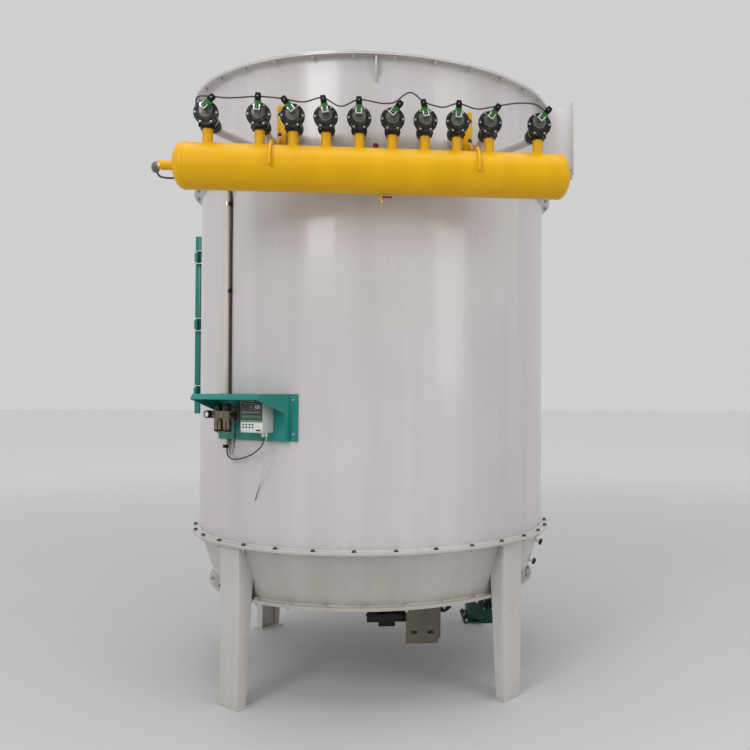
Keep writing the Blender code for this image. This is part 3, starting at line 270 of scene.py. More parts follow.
@dataclass(frozen=True)
class Enamel:
    """Sprayed enamel on sheet steel: soft vertical streaks, orange peel, uneven sheet and dusty seams."""

    name: str
    colour: Colour
    shade: Colour
    roughness: float = 0.26
    coat: float = 0.35
    waviness: float = 0.004
    gloss: float = 0.5
    seams: tuple[float, ...] = ()

    def _dust(self, desk: Desk, cloud: Signal) -> Signal:
        """A faint film of dust that gathers at the seams' heights and thins out above them."""
        if not self.seams:
            return desk.band(cloud, 0.5, 0.8) * 0.05
        height = desk.height()
        film = desk.band((height - self.seams[0]).size(), 0.1, 0.0)
        for seam in self.seams[1:]:
            film = film.at_least(desk.band((height - seam).size(), 0.1, 0.0))
        return film * desk.band(cloud, 0.3, 0.75) * 0.14

    def material(self) -> bpy.types.Material:
        """Builds the enamel's nodes."""
        desk = Desk(self.name)
        shade = linear(self.shade)
        streaks = desk.noise(6.0, 4.0, 0.55, desk.stretched(1.0, 1.0, 0.06))
        clouds = desk.noise(1.5, 3.0)
        tone = desk.band(streaks * 0.6 + clouds * 0.4, 0.36, 0.66)
        fine = desk.noise(34.0, 5.0, 0.65)
        colour = desk.mix(tone, shade, linear(self.colour))
        colour = desk.mix(self._dust(desk, fine), colour, tuple(0.55 * part for part in shade))
        rough = desk.band(clouds, 0.3, 0.7, self.roughness - 0.03, self.roughness + 0.03)
        sheet = desk.noise(2.2, 1.0, 0.4, desk.stretched(1.0, 1.0, 0.5))
        normal = desk.bump(desk.noise(300.0, 2.0, 0.5), 0.00004, desk.bump(sheet, self.waviness))
        return desk.set(Base_Color=colour, Roughness=rough, Coat_Weight=self.coat, Coat_Roughness=0.09,
            Specular_IOR_Level=self.gloss, Normal=normal)


@dataclass(frozen=True)
class Casting:
    """A fine sand-cast surface, plain or painted, worn lighter in patches."""

    name: str
    colour: Colour
    worn: Colour
    metallic: float = 0.5
    roughness: float = 0.5
    grain: float = 900.0

    def material(self) -> bpy.types.Material:
        """Builds the casting's nodes."""
        desk = Desk(self.name)
        grain = desk.noise(self.grain, 4.0, 0.6)
        patches = desk.noise(55.0, 3.0)
        colour = desk.mix(desk.band(patches, 0.4, 0.7), linear(self.colour), linear(self.worn))
        rough = desk.band(patches + grain * 0.3, 0.45, 0.85, self.roughness + 0.1, self.roughness - 0.1)
        return desk.set(Base_Color=colour, Metallic=self.metallic, Roughness=rough,
            Normal=desk.bump(grain, 0.00025))


@dataclass(frozen=True)
class Plated:
    """Zinc-plated or bare bright metal with faint wiping marks and dull spots."""

    name: str
    colour: Colour
    dull: Colour
    roughness: float = 0.28

    def material(self) -> bpy.types.Material:
        """Builds the metal's nodes."""
        desk = Desk(self.name)
        wiping = desk.noise(300.0, 3.0, 0.6, desk.stretched(1.0, 1.0, 0.2))
        spots = desk.band(desk.noise(140.0, 4.0), 0.52, 0.7)
        colour = desk.mix(spots, linear(self.colour), linear(self.dull))
        rough = desk.band(wiping + spots * 0.5, 0.3, 1.1, self.roughness, self.roughness + 0.25)
        return desk.set(Base_Color=colour, Metallic=1.0, Roughness=rough, Normal=desk.bump(wiping, 0.00003))


@dataclass(frozen=True)
class Moulded:
    """Moulded plastic or rubber with a fine grain and a pale film of dust."""

    name: str
    colour: Colour
    roughness: float = 0.45
    grain_depth: float = 0.00005
    grain: float = 1400.0
    dust: float = 0.3
    shine: float = 0.5

    def material(self) -> bpy.types.Material:
        """Builds the plastic's nodes."""
        desk = Desk(self.name)
        grain = desk.noise(self.grain, 2.0)
        film = desk.band(desk.noise(38.0, 5.0, 0.65), 0.45, 0.75)
        colour = linear(self.colour)
        tone = desk.mix(film * self.dust, colour, tuple(0.82 * part + 0.05 for part in colour))
        rough = desk.band(film + grain * 0.4, 0.0, 1.4, self.roughness - 0.08, self.roughness + 0.12)
        return desk.set(Base_Color=tone, Roughness=rough, Specular_IOR_Level=self.shine,
            Normal=desk.bump(grain, self.grain_depth))


@dataclass(frozen=True)
class Graded:
    """A cord's sheath that changes its colour between two heights, as where a hose meets a clear tube."""

    name: str
    above: Colour
    below: Colour
    high: float
    low: float
    film: Colour = (120, 118, 114)

    def material(self) -> bpy.types.Material:
        """Builds the sheath's nodes."""
        desk = Desk(self.name)
        share = desk.band(desk.height(), self.low, self.high)
        film = desk.band(desk.noise(90.0, 4.0), 0.4, 0.7)
        colour = desk.mix(film * 0.25, desk.mix(share, linear(self.below), linear(self.above)),
            linear(self.film))
        return desk.set(Base_Color=colour, Roughness=desk.band(film, 0.0, 1.0, 0.34, 0.5))


@dataclass(frozen=True)
class Clear:
    """Clear plastic, seen through by way of its alpha."""

    name: str
    colour: Colour
    alpha: float = 0.3
    roughness: float = 0.12

    def material(self) -> bpy.types.Material:
        """Builds the clear plastic's nodes."""
        desk = Desk(self.name)
        haze = desk.band(desk.noise(45.0, 4.0), 0.4, 0.75)
        alpha = desk.band(haze, 0.0, 1.0, self.alpha, self.alpha + 0.08)
        rough = desk.band(haze, 0.0, 1.0, self.roughness, self.roughness + 0.1)
        colour = desk.mix(haze * 0.3, linear(self.colour), (0.7, 0.7, 0.68))
        return desk.set(Base_Color=colour, Roughness=rough, Alpha=alpha)


@dataclass(frozen=True)
class Felt:
    """Needle felt: matt, with loose fibres lying every way."""

    name: str
    colour: Colour

    def material(self) -> bpy.types.Material:
        """Builds the felt's nodes."""
        desk = Desk(self.name)
        colour = linear(self.colour)
        fibres = desk.noise(700.0, 6.0, 0.75)
        dust = desk.band(desk.noise(7.0, 4.0, 0.6, desk.stretched(1.0, 1.0, 0.3)), 0.35, 0.75)
        tone = desk.mix(dust * 0.5, colour, tuple(0.7 * part for part in colour))
        rough = desk.band(fibres, 0.3, 0.7, 0.88, 0.98)
        return desk.set(Base_Color=tone, Roughness=rough, Sheen_Weight=0.3,
            Normal=desk.bump(fibres, 0.0006))


class Finishes:
    """Every finish of the collector, made once and found by name."""

    def __init__(self) -> None:
        """Lists the finishes. None is built before a piece asks for it."""
        recipes = (
            Enamel("body_enamel", (208, 204, 204), (199, 194, 194), seams=(0.868, 2.861)),
            Enamel("leg_enamel", (200, 198, 196), (188, 185, 182), waviness=0.001, seams=(0.01,)),
            Enamel("hopper_enamel", (196, 191, 186), (184, 178, 172), waviness=0.002, seams=(0.565,)),
            Enamel("header_yellow", (228, 178, 2), (219, 167, 1), 0.38, 0.0, 0.001, 0.3),
            # Painted shade: a darkened copy of the pale enamel, standing for the shade under the floor on the
            # drive bracket.
            Enamel("bracket_painted_shade", (126, 118, 107), (108, 101, 91), 0.42, 0.1, 0.0006),
            Enamel("teal_enamel", (22, 142, 132), (16, 124, 116), 0.34, 0.2, 0.0006),
            Casting("valve_casting", (50, 50, 50), (84, 83, 82), 0.75, 0.32, 500.0),
            # A paler copy of the valve casting: partly the parts' own grey, partly painted highlight standing
            # for the light on raised rings.
            Casting("pale_casting_and_painted_highlight", (112, 111, 109), (140, 139, 136), 0.6, 0.32, 500.0),
            Casting("steel_dark", (34, 34, 36), (58, 57, 56), 0.6, 0.38),
            Casting("motor_casting", (18, 18, 20), (30, 31, 33), 0.0, 0.5, 700.0),
            Casting("airlock_casting", (14, 62, 52), (22, 78, 66), 0.0, 0.45, 600.0),
            Casting("bolt_painted", (196, 191, 189), (168, 163, 160), 0.1, 0.45),
            Casting("regulator_grey", (112, 104, 86), (142, 134, 114), 0.35, 0.4),
            Plated("zinc", (205, 206, 204), (160, 161, 160)),
            Plated("bolt_zinc", (104, 100, 96), (62, 58, 54), 0.4),
            Plated("chrome", (225, 226, 226), (190, 190, 190), 0.12),
            Plated("brass", (206, 172, 98), (160, 128, 70), 0.3),
            Moulded("sleeve_rubber", (15, 15, 16), 0.6, 0.0001, 900.0, 0.2, 0.3),
            Moulded("gasket_rubber", (38, 38, 39), 0.7, 0.00012, 700.0, 0.4),
            Moulded("plug_black", (12, 12, 13), 0.5, dust=0.1, shine=0.25),
            Moulded("coil_green", (38, 108, 38), 0.4),
            Moulded("knob_black", (22, 22, 23), 0.35),
            Moulded("conduit_beige", (208, 200, 188), 0.42),
            Moulded("case_grey", (196, 198, 195), 0.42),
            Moulded("panel_white", (226, 227, 224), 0.4),
            Moulded("stripe_green", (60, 160, 96), 0.4),
            Moulded("board_green", (20, 58, 40), 0.4),
            Moulded("cap_red", (150, 26, 26), 0.4),
            Moulded("dial_white", (238, 238, 234), 0.35, 0.00001),
            Moulded("dial_black", (20, 20, 20), 0.5, 0.00001),
            Moulded("cable_grey", (58, 58, 60), 0.5),
            Graded("air_line", (26, 26, 28), (150, 150, 148), 1.43, 1.37),
            Graded("lead_sheath", (206, 205, 202), (40, 34, 32), 1.215, 1.16),
            Clear("lid_clear", (150, 156, 156), 0.16),
            Clear("bowl_clear", (150, 132, 86), 0.8, 0.2),
            Felt("bag_felt", (226, 222, 212)),
        )
        self.recipes = {recipe.name: recipe for recipe in recipes}
        self.made: dict[str, bpy.types.Material] = {}

    def get(self, name: str) -> bpy.types.Material:
        """The finish of this name, built when it is first asked for."""
        if name not in self.made:
            self.made[name] = self.recipes[name].material()
        return self.made[name]


FINISHES = Finishes()


def linked(name: str, data: bpy.types.ID, finishes: Iterable[str] = ()) -> bpy.types.Object:
    """A new object in the scene on this data, with its finishes."""
    for finish in finishes:
        data.materials.append(FINISHES.get(finish))
    made = bpy.data.objects.new(name, data)
    bpy.context.scene.collection.objects.link(made)
    return made


def shaded(made: bpy.types.Object) -> bpy.types.Object:
    """The object shaded smooth over its gentle edges."""
    made.data.shade_smooth()
    made.data.set_sharp_from_angle(angle=SMOOTH_TO)
    return made


class Shape:
    """A mesh in the making: closed forms of one or more finishes that become one piece."""

    def __init__(self, finish: str) -> None:
        """Starts an empty shape whose first finish is this one."""
        self.mesh = bmesh.new()
        self.finishes = [finish]

    def _slot(self, finish: Optional[str]) -> int:
        """The material number of a finish, which is the first one where none is given."""
        name = finish or self.finishes[0]
        if name not in self.finishes:
            self.finishes.append(name)
        return self.finishes.index(name)

    def _close(self, faces: list, finish: Optional[str], place: Matrix, bevel: float) -> None:
        """Turns the new faces outwards, rounds their sharp edges and moves them to their place."""
        bmesh.ops.recalc_face_normals(self.mesh, faces=faces)
        slot = self._slot(finish)
        for face in faces:
            face.material_index = slot
        if bevel > 0:
            edges = {edge for face in faces for edge in face.edges if len(edge.link_faces) == 2}
            sharp = [edge for edge in edges if edge.calc_face_angle(0) > BEVEL_FROM]
            made = bmesh.ops.bevel(self.mesh, geom=sharp, offset=bevel, segments=2, profile=0.5,
                affect="EDGES", clamp_overlap=True, material=slot)
            faces = list({face for face in faces if face.is_valid} | set(made["faces"]))
        corners = {corner for face in faces for corner in face.verts}
        bmesh.ops.transform(self.mesh, matrix=place, verts=list(corners))

    def skin(self, rings: Sequence[Sequence[Place]], closed: bool, finish: Optional[str] = None,
            place: Matrix = Matrix(), bevel: float = 0.0) -> "Shape":
        """Skins a closed form through rings of points.

        Args:
            rings: The rings, all with the same number of points.
            closed: Whether the last ring joins the first. If not, both ends are capped.
            finish: The finish, if it isn't the shape's first.
            place: Where the form goes.
            bevel: How far its sharp edges are rounded.

        Returns:
            The shape itself.
        """
        made = [[self.mesh.verts.new(point) for point in ring] for ring in rings]
        pairs = list(zip(made, made[1:])) + ([(made[-1], made[0])] if closed else [])
        size = len(made[0])
        faces = []
        for ring, after in pairs:
            for i in range(size):
                j = (i + 1) % size
                corners = (ring[i], ring[j], after[j], after[i])
                if (corners[0].co - corners[3].co).length + (corners[1].co - corners[2].co).length > 1e-9:
                    faces.append(self.mesh.faces.new(corners))
        if not closed:
            faces += [self.mesh.faces.new(made[0]), self.mesh.faces.new(list(reversed(made[-1])))]
        corners = [corner for ring in made for corner in ring]
        bmesh.ops.remove_doubles(self.mesh, verts=corners, dist=1e-6)
        self._close([face for face in faces if face.is_valid], finish, place, bevel)
        return self

    def turned(self, profile: Sequence[Point], finish: Optional[str] = None, place: Matrix = Matrix(),
            facets: int = 32, sweep: tuple[float, float] = (0.0, 360.0), bevel: float = 0.0) -> "Shape":
        """Turns a closed outline of (radius, height) points about the z axis of place."""
        whole = sweep[1] - sweep[0] > 359.9
        count = max(3, round(facets * (sweep[1] - sweep[0]) / 360))
        angles = [sweep[0] + (sweep[1] - sweep[0]) * step / count
            for step in range(count if whole else count + 1)]
        rings = [[polar(angle, radius, height) for radius, height in profile] for angle in angles]
        return self.skin(rings, whole, finish, place, bevel)

    def prism(self, outline: Sequence[Point], low: float, high: float, finish: Optional[str] = None,
            place: Matrix = Matrix(), bevel: float = 0.0) -> "Shape":
        """Extrudes a flat outline of (x, y) points from low to high along z."""
        rings = [[(x, y, z) for x, y in outline] for z in (low, high)]
        return self.skin(rings, False, finish, place, bevel)

    def block(self, low: Place, high: Place, finish: Optional[str] = None, place: Matrix = Matrix(),
            bevel: float = 0.0) -> "Shape":
        """A rectangular block between two corners."""
        (x0, y0, z0), (x1, y1, z1) = low, high
        rings = [[(x, y0, z0), (x, y1, z0), (x, y1, z1), (x, y0, z1)] for x in (x0, x1)]
        return self.skin(rings, False, finish, place, bevel)

    def rod(self, start: Place, end: Place, radius: float, finish: Optional[str] = None, facets: int = 24,
            bevel: float = 0.0) -> "Shape":
        """A round bar between two points."""
        start, end = Vector(start), Vector(end)
        length = (end - start).length
        soft = min(bevel, radius / 2, length / 2)
        profile = [(0, 0), (radius - soft, 0), (radius, soft), (radius, length - soft),
            (radius - soft, length), (0, length)]
        if soft == 0:
            profile = [(0, 0), (radius, 0), (radius, length), (0, length)]
        return self.turned(profile, finish, along(end - start, start), facets)

    def pipe(self, points: Sequence[Place], radius: float, finish: Optional[str] = None,
            facets: int = 20) -> "Shape":
        """A round pipe on a smooth path through these points."""
        path = [Vector(point) for point in points]
        rings = []
        frame_of = None
        for i, point in enumerate(path):
            ahead = (path[min(i + 1, len(path) - 1)] - path[max(i - 1, 0)]).normalized()
            if frame_of is None:
                frame_of = along(ahead).to_quaternion()
            else:
                frame_of = (frame_of @ Vector((0, 0, 1))).rotation_difference(ahead) @ frame_of
            rings.append([point + frame_of @ polar(360 * k / facets, radius) for k in range(facets)])
        return self.skin(rings, False, finish)

    def object(self, name: str = "cutter") -> bpy.types.Object:
        """The shape as an object about the collector's axis, with its place in its mesh."""
        self.mesh.transform(Matrix.Translation(AXIS))
        data = bpy.data.meshes.new(name)
        self.mesh.to_mesh(data)
        self.mesh.free()
        return shaded(linked(name, data, self.finishes))

    def piece(self, name: str, *replaced: str, body: Body = Body.COLLECTOR) -> bpy.types.Object:
        """Finishes the shape as a piece of the collector.

        Args:
            name: The piece's name.
            replaced: The CAD nodes that it stands for.
            body: The body that it rides on.

        Returns:
            The piece.
        """
        return settle(self.object(name), body, replaced)


def settle(made: bpy.types.Object, body: Body, replaced: Iterable[str] = ()) -> bpy.types.Object:
    """Sets a finished object on its body and hides the CAD nodes that it stands for."""
    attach(made, body.value)
    names = list(replaced)
    if names:
        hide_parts(*names)
    LOG.info("%s rides on %s", made.name, body.value)
    return made


def applied(made: bpy.types.Object) -> bpy.types.Object:
    """The object with its modifiers turned into plain mesh."""
    graph = bpy.context.evaluated_depsgraph_get()
    data = bpy.data.meshes.new_from_object(made.evaluated_get(graph))
    data.name = made.name
    made.modifiers.clear()
    made.data = data
    return made


def trimmed(made: bpy.types.Object, cutters: Sequence[bpy.types.Object]) -> bpy.types.Object:
    """The object less its cutters, which are used up."""
    for cutter in cutters:
        modifier = made.modifiers.new("Trim", "BOOLEAN")
        modifier.operation = "DIFFERENCE"
        modifier.object = cutter
    applied(made)
    for cutter in cutters:
        bpy.data.objects.remove(cutter)
    return shaded(made)


def refined(node: str, finish: str, bevel: float, cutters: Sequence[bpy.types.Object] = (),
        reshape: Optional[Callable[[bmesh.types.BMesh], None]] = None) -> bpy.types.Object:
    """A CAD node's own form with rounded edges and small holes, standing in for the node.

    Args:
        node: The node.
        finish: Its finish.
        bevel: How far its sharp edges are rounded.
        cutters: Shapes to take out of it.
        reshape: Moves some of its corners first.

    Returns:
        The piece.
    """
    mesh = bmesh.new()
    mesh.from_mesh(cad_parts[node].data)
    if reshape:
        reshape(mesh)
    bmesh.ops.remove_doubles(mesh, verts=mesh.verts, dist=1e-5)
    bmesh.ops.dissolve_limit(mesh, angle_limit=radians(0.6), verts=mesh.verts, edges=mesh.edges)
    data = bpy.data.meshes.new(f"{node}_finished")
    mesh.to_mesh(data)
    mesh.free()
    made = linked(f"{node}_finished", data, (finish,))
    if cutters:
        trimmed(made, cutters)
    soften = made.modifiers.new("Soften", "BEVEL")
    soften.width = bevel
    soften.segments = 2
    soften.limit_method = "ANGLE"
    soften.angle_limit = SOFTEN_FROM
    soften.use_clamp_overlap = True
    return settle(shaded(applied(made)), Body.COLLECTOR, (node,))


def smooth_route(route: Sequence[Place], spacing: float, most: int = 400) -> list[Vector]:
    """Points a spacing apart on a smooth curve through the route."""
    knots = [Vector(point) for point in route]
    knots = [2 * knots[0] - knots[1]] + knots + [2 * knots[-1] - knots[-2]]
    fine = []
    for before, start, end, after in zip(knots, knots[1:], knots[2:], knots[3:]):
        bend = 2 * before - 5 * start + 4 * end - after
        twist = 3 * start - before - 3 * end + after
        for step in range(24):
            u = step / 24
            fine.append(0.5 * (2 * start + (end - before) * u + bend * u ** 2 + twist * u ** 3))
    fine.append(knots[-2])
    reach = [0.0]
    for here, there in zip(fine, fine[1:]):
        reach.append(reach[-1] + (there - here).length)
    count = min(most, max(4, round(reach[-1] / spacing) + 1))
    points = []
    k = 0
    for i in range(count):
        target = reach[-1] * i / (count - 1)
        while k < len(fine) - 2 and reach[k + 1] < target:
            k += 1
        share = (target - reach[k]) / max(reach[k + 1] - reach[k], 1e-9)
        points.append(fine[k].lerp(fine[k + 1], min(max(share, 0.0), 1.0)))
    return points


@dataclass
class Fasteners:
    """Hexagon bolts on points, made by one node tree from their sizes."""

    names: tuple[str, ...] = (
        "Head Radius", "Head Height", "Washer Radius", "Washer Thickness", "Thread Radius", "Thread Length",
    )
    shoulder: float = 0.78
    crown: float = 0.86
    point: float = 0.85
    tree: bpy.types.NodeTree = field(init=False)

    def __post_init__(self) -> None:
        """Builds the tree: a washer, a hexagon head with its chamfer and a thread end on every point."""
        self.tree = bpy.data.node_groups.new("HexagonBolts", "GeometryNodeTree")
        face = self.tree.interface
        face.new_socket("Geometry", in_out="INPUT", socket_type="NodeSocketGeometry")
        for name in self.names:
            face.new_socket(name, in_out="INPUT", socket_type="NodeSocketFloat")
        face.new_socket("Seed", in_out="INPUT", socket_type="NodeSocketInt")
        face.new_socket("Finish", in_out="INPUT", socket_type="NodeSocketMaterial")
        face.new_socket("Geometry", in_out="OUTPUT", socket_type="NodeSocketGeometry")
        given = self.tree.nodes.new("NodeGroupInput").outputs
        head, height, rim, plate, thread, reach = (given[name] for name in self.names)
        shoulder = self._math("MULTIPLY", height, self.shoulder)
        crown = self._math("MULTIPLY", head, self.crown)
        chamfer = self._math("MULTIPLY", height, 1 - self.shoulder)
        point = self._math("MULTIPLY", thread, self.point)
        parts = (
            self._drum(20, rim, rim, plate, None),
            self._drum(6, head, head, shoulder, plate),
            self._drum(6, head, crown, chamfer, self._math("ADD", plate, shoulder)),
            self._drum(12, thread, point, reach, self._math("ADD", plate, height)),
        )
        join = self.tree.nodes.new("GeometryNodeJoinGeometry")
        for part in parts:
            self.tree.links.new(part, join.inputs[0])
        facing = self._node("GeometryNodeInputNamedAttribute", {"data_type": "FLOAT_VECTOR"},
            {"Name": "facing"})
        turn = self._node("FunctionNodeRandomValue", {"data_type": "FLOAT"},
            {2: 0.0, 3: pi, "Seed": given["Seed"]}, 1)
        spin = self._node("ShaderNodeCombineXYZ", {}, {"Z": turn})
        lean = self._node("FunctionNodeAlignRotationToVector", {"axis": "Z"}, {"Vector": facing})
        whirl = self._node("FunctionNodeEulerToRotation", {}, {0: spin})
        both = self._node("FunctionNodeRotateRotation", {"rotation_space": "LOCAL"}, {0: lean, 1: whirl})
        copies = self._node("GeometryNodeInstanceOnPoints", {}, {"Points": given["Geometry"],
            "Instance": join.outputs[0], "Rotation": both})
        real = self._node("GeometryNodeRealizeInstances", {}, {0: copies})
        dressed = self._node("GeometryNodeSetMaterial", {}, {"Geometry": real, "Material": given["Finish"]})
        self.tree.links.new(dressed, self.tree.nodes.new("NodeGroupOutput").inputs[0])

    def _node(self, kind: str, settings: dict, values: dict, output: int = 0) -> bpy.types.NodeSocket:
        """One output of a new node of the tree."""
        return new_node(self.tree, kind, settings, values).outputs[output]

    def _math(self, operation: str, first: object, second: object) -> bpy.types.NodeSocket:
        """One Math node."""
        return self._node("ShaderNodeMath", {"operation": operation}, {0: first, 1: second})

    def _drum(self, sides: int, low: object, high: object, depth: object,
            foot: object) -> bpy.types.NodeSocket:
        """A drum or a cone that stands on a height."""
        cone = self._node("GeometryNodeMeshCone", {}, {"Vertices": sides, "Radius Top": high,
            "Radius Bottom": low, "Depth": depth})
        if foot is None:
            return cone
        place = self._node("ShaderNodeCombineXYZ", {}, {"Z": foot})
        return self._node("GeometryNodeTransform", {}, {"Geometry": cone, "Translation": place})

    def piece(self, name: str, spots: Sequence[tuple], across: float, finish: str = "bolt_zinc",
            thread: float = PLAIN_HEAD, seed: int = 1) -> bpy.types.Object:
        """One mesh of like bolts.

        Args:
            name: The piece's name.
            spots: Where each bolt's washer sits and which way its head looks, a Facing or a vector.
            across: The head's width across flats.
            finish: The bolts' finish.
            thread: How far the thread stands out of the head.
            seed: Turns the heads differently from another set's.

        Returns:
            The piece.
        """
        data = bpy.data.meshes.new(name)
        data.from_pydata([tuple(place + AXIS) for place, _ in spots], [], [])
        facing = data.attributes.new("facing", "FLOAT_VECTOR", "POINT")
        for item, (_, look) in zip(facing.data, spots):
            item.vector = look.value if isinstance(look, Facing) else look
        made = linked(name, data)
        modifier = made.modifiers.new("Bolts", "NODES")
        modifier.node_group = self.tree
        sizes = (across / sqrt(3), 0.42 * across, 0.68 * across, 0.11 * across, 0.32 * across, thread)
        values = {**dict(zip(self.names, sizes)), "Seed": seed, "Finish": FINISHES.get(finish)}
        for item in self.tree.interface.items_tree:
            if item.item_type == "SOCKET" and item.in_out == "INPUT" and item.name in values:
                modifier[item.identifier] = values[item.name]
        applied(made)
        made.data.shade_flat()
        return settle(made, Body.COLLECTOR)


def ring_of_spots(radius: float, height: float, count: int, phase: float, look: Facing) -> list[tuple]:
    """Bolt spots evenly round the collector's axis."""
    return [(polar(phase + 360 * i / count, radius, height), look) for i in range(count)]


@dataclass
class Vessel:
    """The round shell: hopper, casing, plenum, roof, floor and their flanges and bolts."""

    radius: float = 1.05
    wall: float = 0.004
    rim: float = 1.095
    thickness: float = 0.008
    hopper_foot: float = 0.947
    floor: float = 0.548
    seam: float = 0.86
    tube_sheet: float = 2.85
    roof: float = 3.393
    facets: int = 192
    soft: float = 0.0009
    weld: float = 0.005
    bolt: float = 0.018

    def wall_profile(self, low: float, high: float, radius_low: float) -> list[Point]:
        """A wall's outline with a welded flange at its foot and its head."""
        width, thick, soft, weld = self.rim - self.radius, self.thickness, self.soft, self.weld
        slope = (self.radius - radius_low) / (high - low)
        foot, head = radius_low + slope * thick, self.radius - slope * thick
        rim_low, rim_high = radius_low + width, self.radius + width
        return [
            (radius_low - self.wall, low), (rim_low - soft, low), (rim_low, low + soft),
            (rim_low, low + thick - soft), (rim_low - soft, low + thick), (foot + weld, low + thick),
            (foot + slope * weld, low + thick + weld), (head - slope * weld, high - thick - weld),
            (head + weld, high - thick), (rim_high - soft, high - thick), (rim_high, high - thick + soft),
            (rim_high, high - soft), (rim_high - soft, high), (self.radius - self.wall, high),
        ]

    def _round(self, outline: Sequence[Point], finish: str = "body_enamel") -> Shape:
        """A form turned about the shell's axis."""
        return Shape(finish).turned(outline, facets=self.facets)

    def _opened(self, wall: Shape, name: str, nodes: Sequence[str], *openings: tuple) -> None:
        """A wall as a piece, less openings given by two corners and a place."""
        cutters = [Shape("body_enamel").block(low, high, None, place).object()
            for low, high, place in openings]
        settle(trimmed(wall.object(name), cutters), Body.COLLECTOR, nodes)

    def build(self, bolts: Fasteners) -> None:
        """Builds the shell's pieces and sets their bolts."""
        sheet = 0.0033
        door = AccessDoor()
        half = door.width / 2 + GAP
        casing = self._round(self.wall_profile(self.seam + GAP / 2, self.tube_sheet - sheet, self.radius))
        top = door.foot + door.height + GAP
        opening = ((-half, -1.2, door.foot - GAP), (half, -0.9, top), station(door.azimuth))
        inlet = ((0.623, 0.15, 0.933), (1.017, 1.3, 1.367), Matrix())
        nodes = ("casing_front", "casing_right", "casing_back", "casing_over_door", "casing_under_door")
        self._opened(casing, "casing", nodes, opening, inlet)
        plenum = self._round(self.wall_profile(self.tube_sheet + sheet, self.roof - self.thickness - GAP,
            self.radius))
        self._opened(plenum, "plenum", ("plenum_front", "plenum_right_back", "plenum_left_back"),
            ((0.5, -0.397, 3.0194), (1.25, 0.397, 3.3734), Matrix()))
        foot = self.floor + self.thickness + GAP
        hopper = self._round(self.wall_profile(foot, self.seam - GAP / 2, self.hopper_foot),
            "hopper_enamel")
        hopper.piece("hopper", "hopper_front", "hopper_right", "hopper_left")
        self._plates()
        self._lugs()
        self._welds()
        self._bolts(bolts)

    def _plates(self) -> None:
        """The floor, the tube sheet's ring and the stiffened roof."""
        soft, thick = self.soft, self.thickness
        reach = self.hopper_foot + self.rim - self.radius
        floor = [(0, self.floor), (reach - soft, self.floor), (reach, self.floor + soft),
            (reach, self.floor + thick), (0, self.floor + thick)]
        self._round(floor, "hopper_enamel").piece("floor", "floor_plate")
        low = self.tube_sheet - 0.003
        ring = [(0.9, low), (self.rim - soft, low), (self.rim - soft, low + 0.006), (0.9, low + 0.006)]
        self._round(ring).piece("tube_sheet", "tube_sheet_ring")
        low = self.roof - thick
        roof = self._round([(0, low), (self.rim, low), (self.rim, self.roof - soft),
            (self.rim - soft, self.roof), (0, self.roof)])
        for x, y in ((0.82, 0.003), (0.003, 0.82)):
            roof.block((-x, -y, low + 0.002), (x, y, self.roof + 0.045), bevel=0.001)
        roof.piece("roof", "roof_plate")

    def _lugs(self) -> None:
        """The lifting lugs under the top flange."""
        under = self.roof - 2 * self.thickness - GAP
        side_on = Matrix(((0, 0, 1, 0), (-1, 0, 0, 0), (0, 1, 0, 0), (0, 0, 0, 1)))
        near, far = self.radius - 0.002, self.radius + 0.036
        outline = [(near, under - 0.134), (far, under - 0.062), (far, under - GAP), (near, under - GAP)]
        lugs = Shape("body_enamel")
        for azimuth in (0, 142, 240):
            lugs.prism(outline, -0.005, 0.005, None, station(azimuth) @ side_on, 0.0008)
        lugs.piece("lifting_lugs")

    def _welds(self) -> None:
        """The upright weld of each rolled sheet, with its ripples, at the back."""
        beads = Shape("body_enamel")
        rim = self.thickness + 0.002
        for azimuth, low, high in (
            (171, self.seam + rim, self.tube_sheet - 0.004 - rim),
            (196, self.tube_sheet + 0.004 + rim, self.roof - 2 * rim),
        ):
            count = 2 * int((high - low) / 0.006)
            rings = []
            for step in range(count + 1):
                here = station(azimuth, low + (high - low) * step / count)
                depth = 0.0016 if step % 2 else 0.001
                ring = [(0.0036 * cos(turn), -self.radius + 0.0006 - depth * sin(turn), 0)
                    for turn in (0, 0.8, pi / 2, pi - 0.8, pi)] + [(0, -self.radius + 0.002, 0)]
                rings.append([here @ Vector(point) for point in ring])
            beads.skin(rings, False)
        beads.piece("sheet_welds")

    def _bolts(self, bolts: Fasteners) -> None:
        """The flange bolts, with heads above and nuts below."""
        middle = (self.radius + self.rim) / 2 + 0.004
        under = self.roof - 2 * self.thickness - GAP
        inner = middle - self.radius + self.hopper_foot
        for name, radius, above, below, count, phase, finish in (
            ("roof", middle, self.roof, under, 32, 5.05, "bolt_painted"),
            ("plenum", middle, self.tube_sheet + 0.0113, self.tube_sheet - 0.0113, 32, 6.05, "bolt_zinc"),
            ("seam", middle, self.seam + 0.0083, self.seam - 0.0083, 32, 6.05, "bolt_zinc"),
            ("floor", inner, self.floor + 0.0163, self.floor, 29, 10.1, "bolt_painted"),
        ):
            heads = ring_of_spots(radius, above, count, phase, Facing.UP)
            bolts.piece(f"{name}_bolts", heads, self.bolt, finish, PLAIN_HEAD, 3)
            nuts = ring_of_spots(radius, below, count, phase, Facing.DOWN)
            bolts.piece(f"{name}_nuts", nuts, self.bolt, "bolt_painted", 0.006, 7)


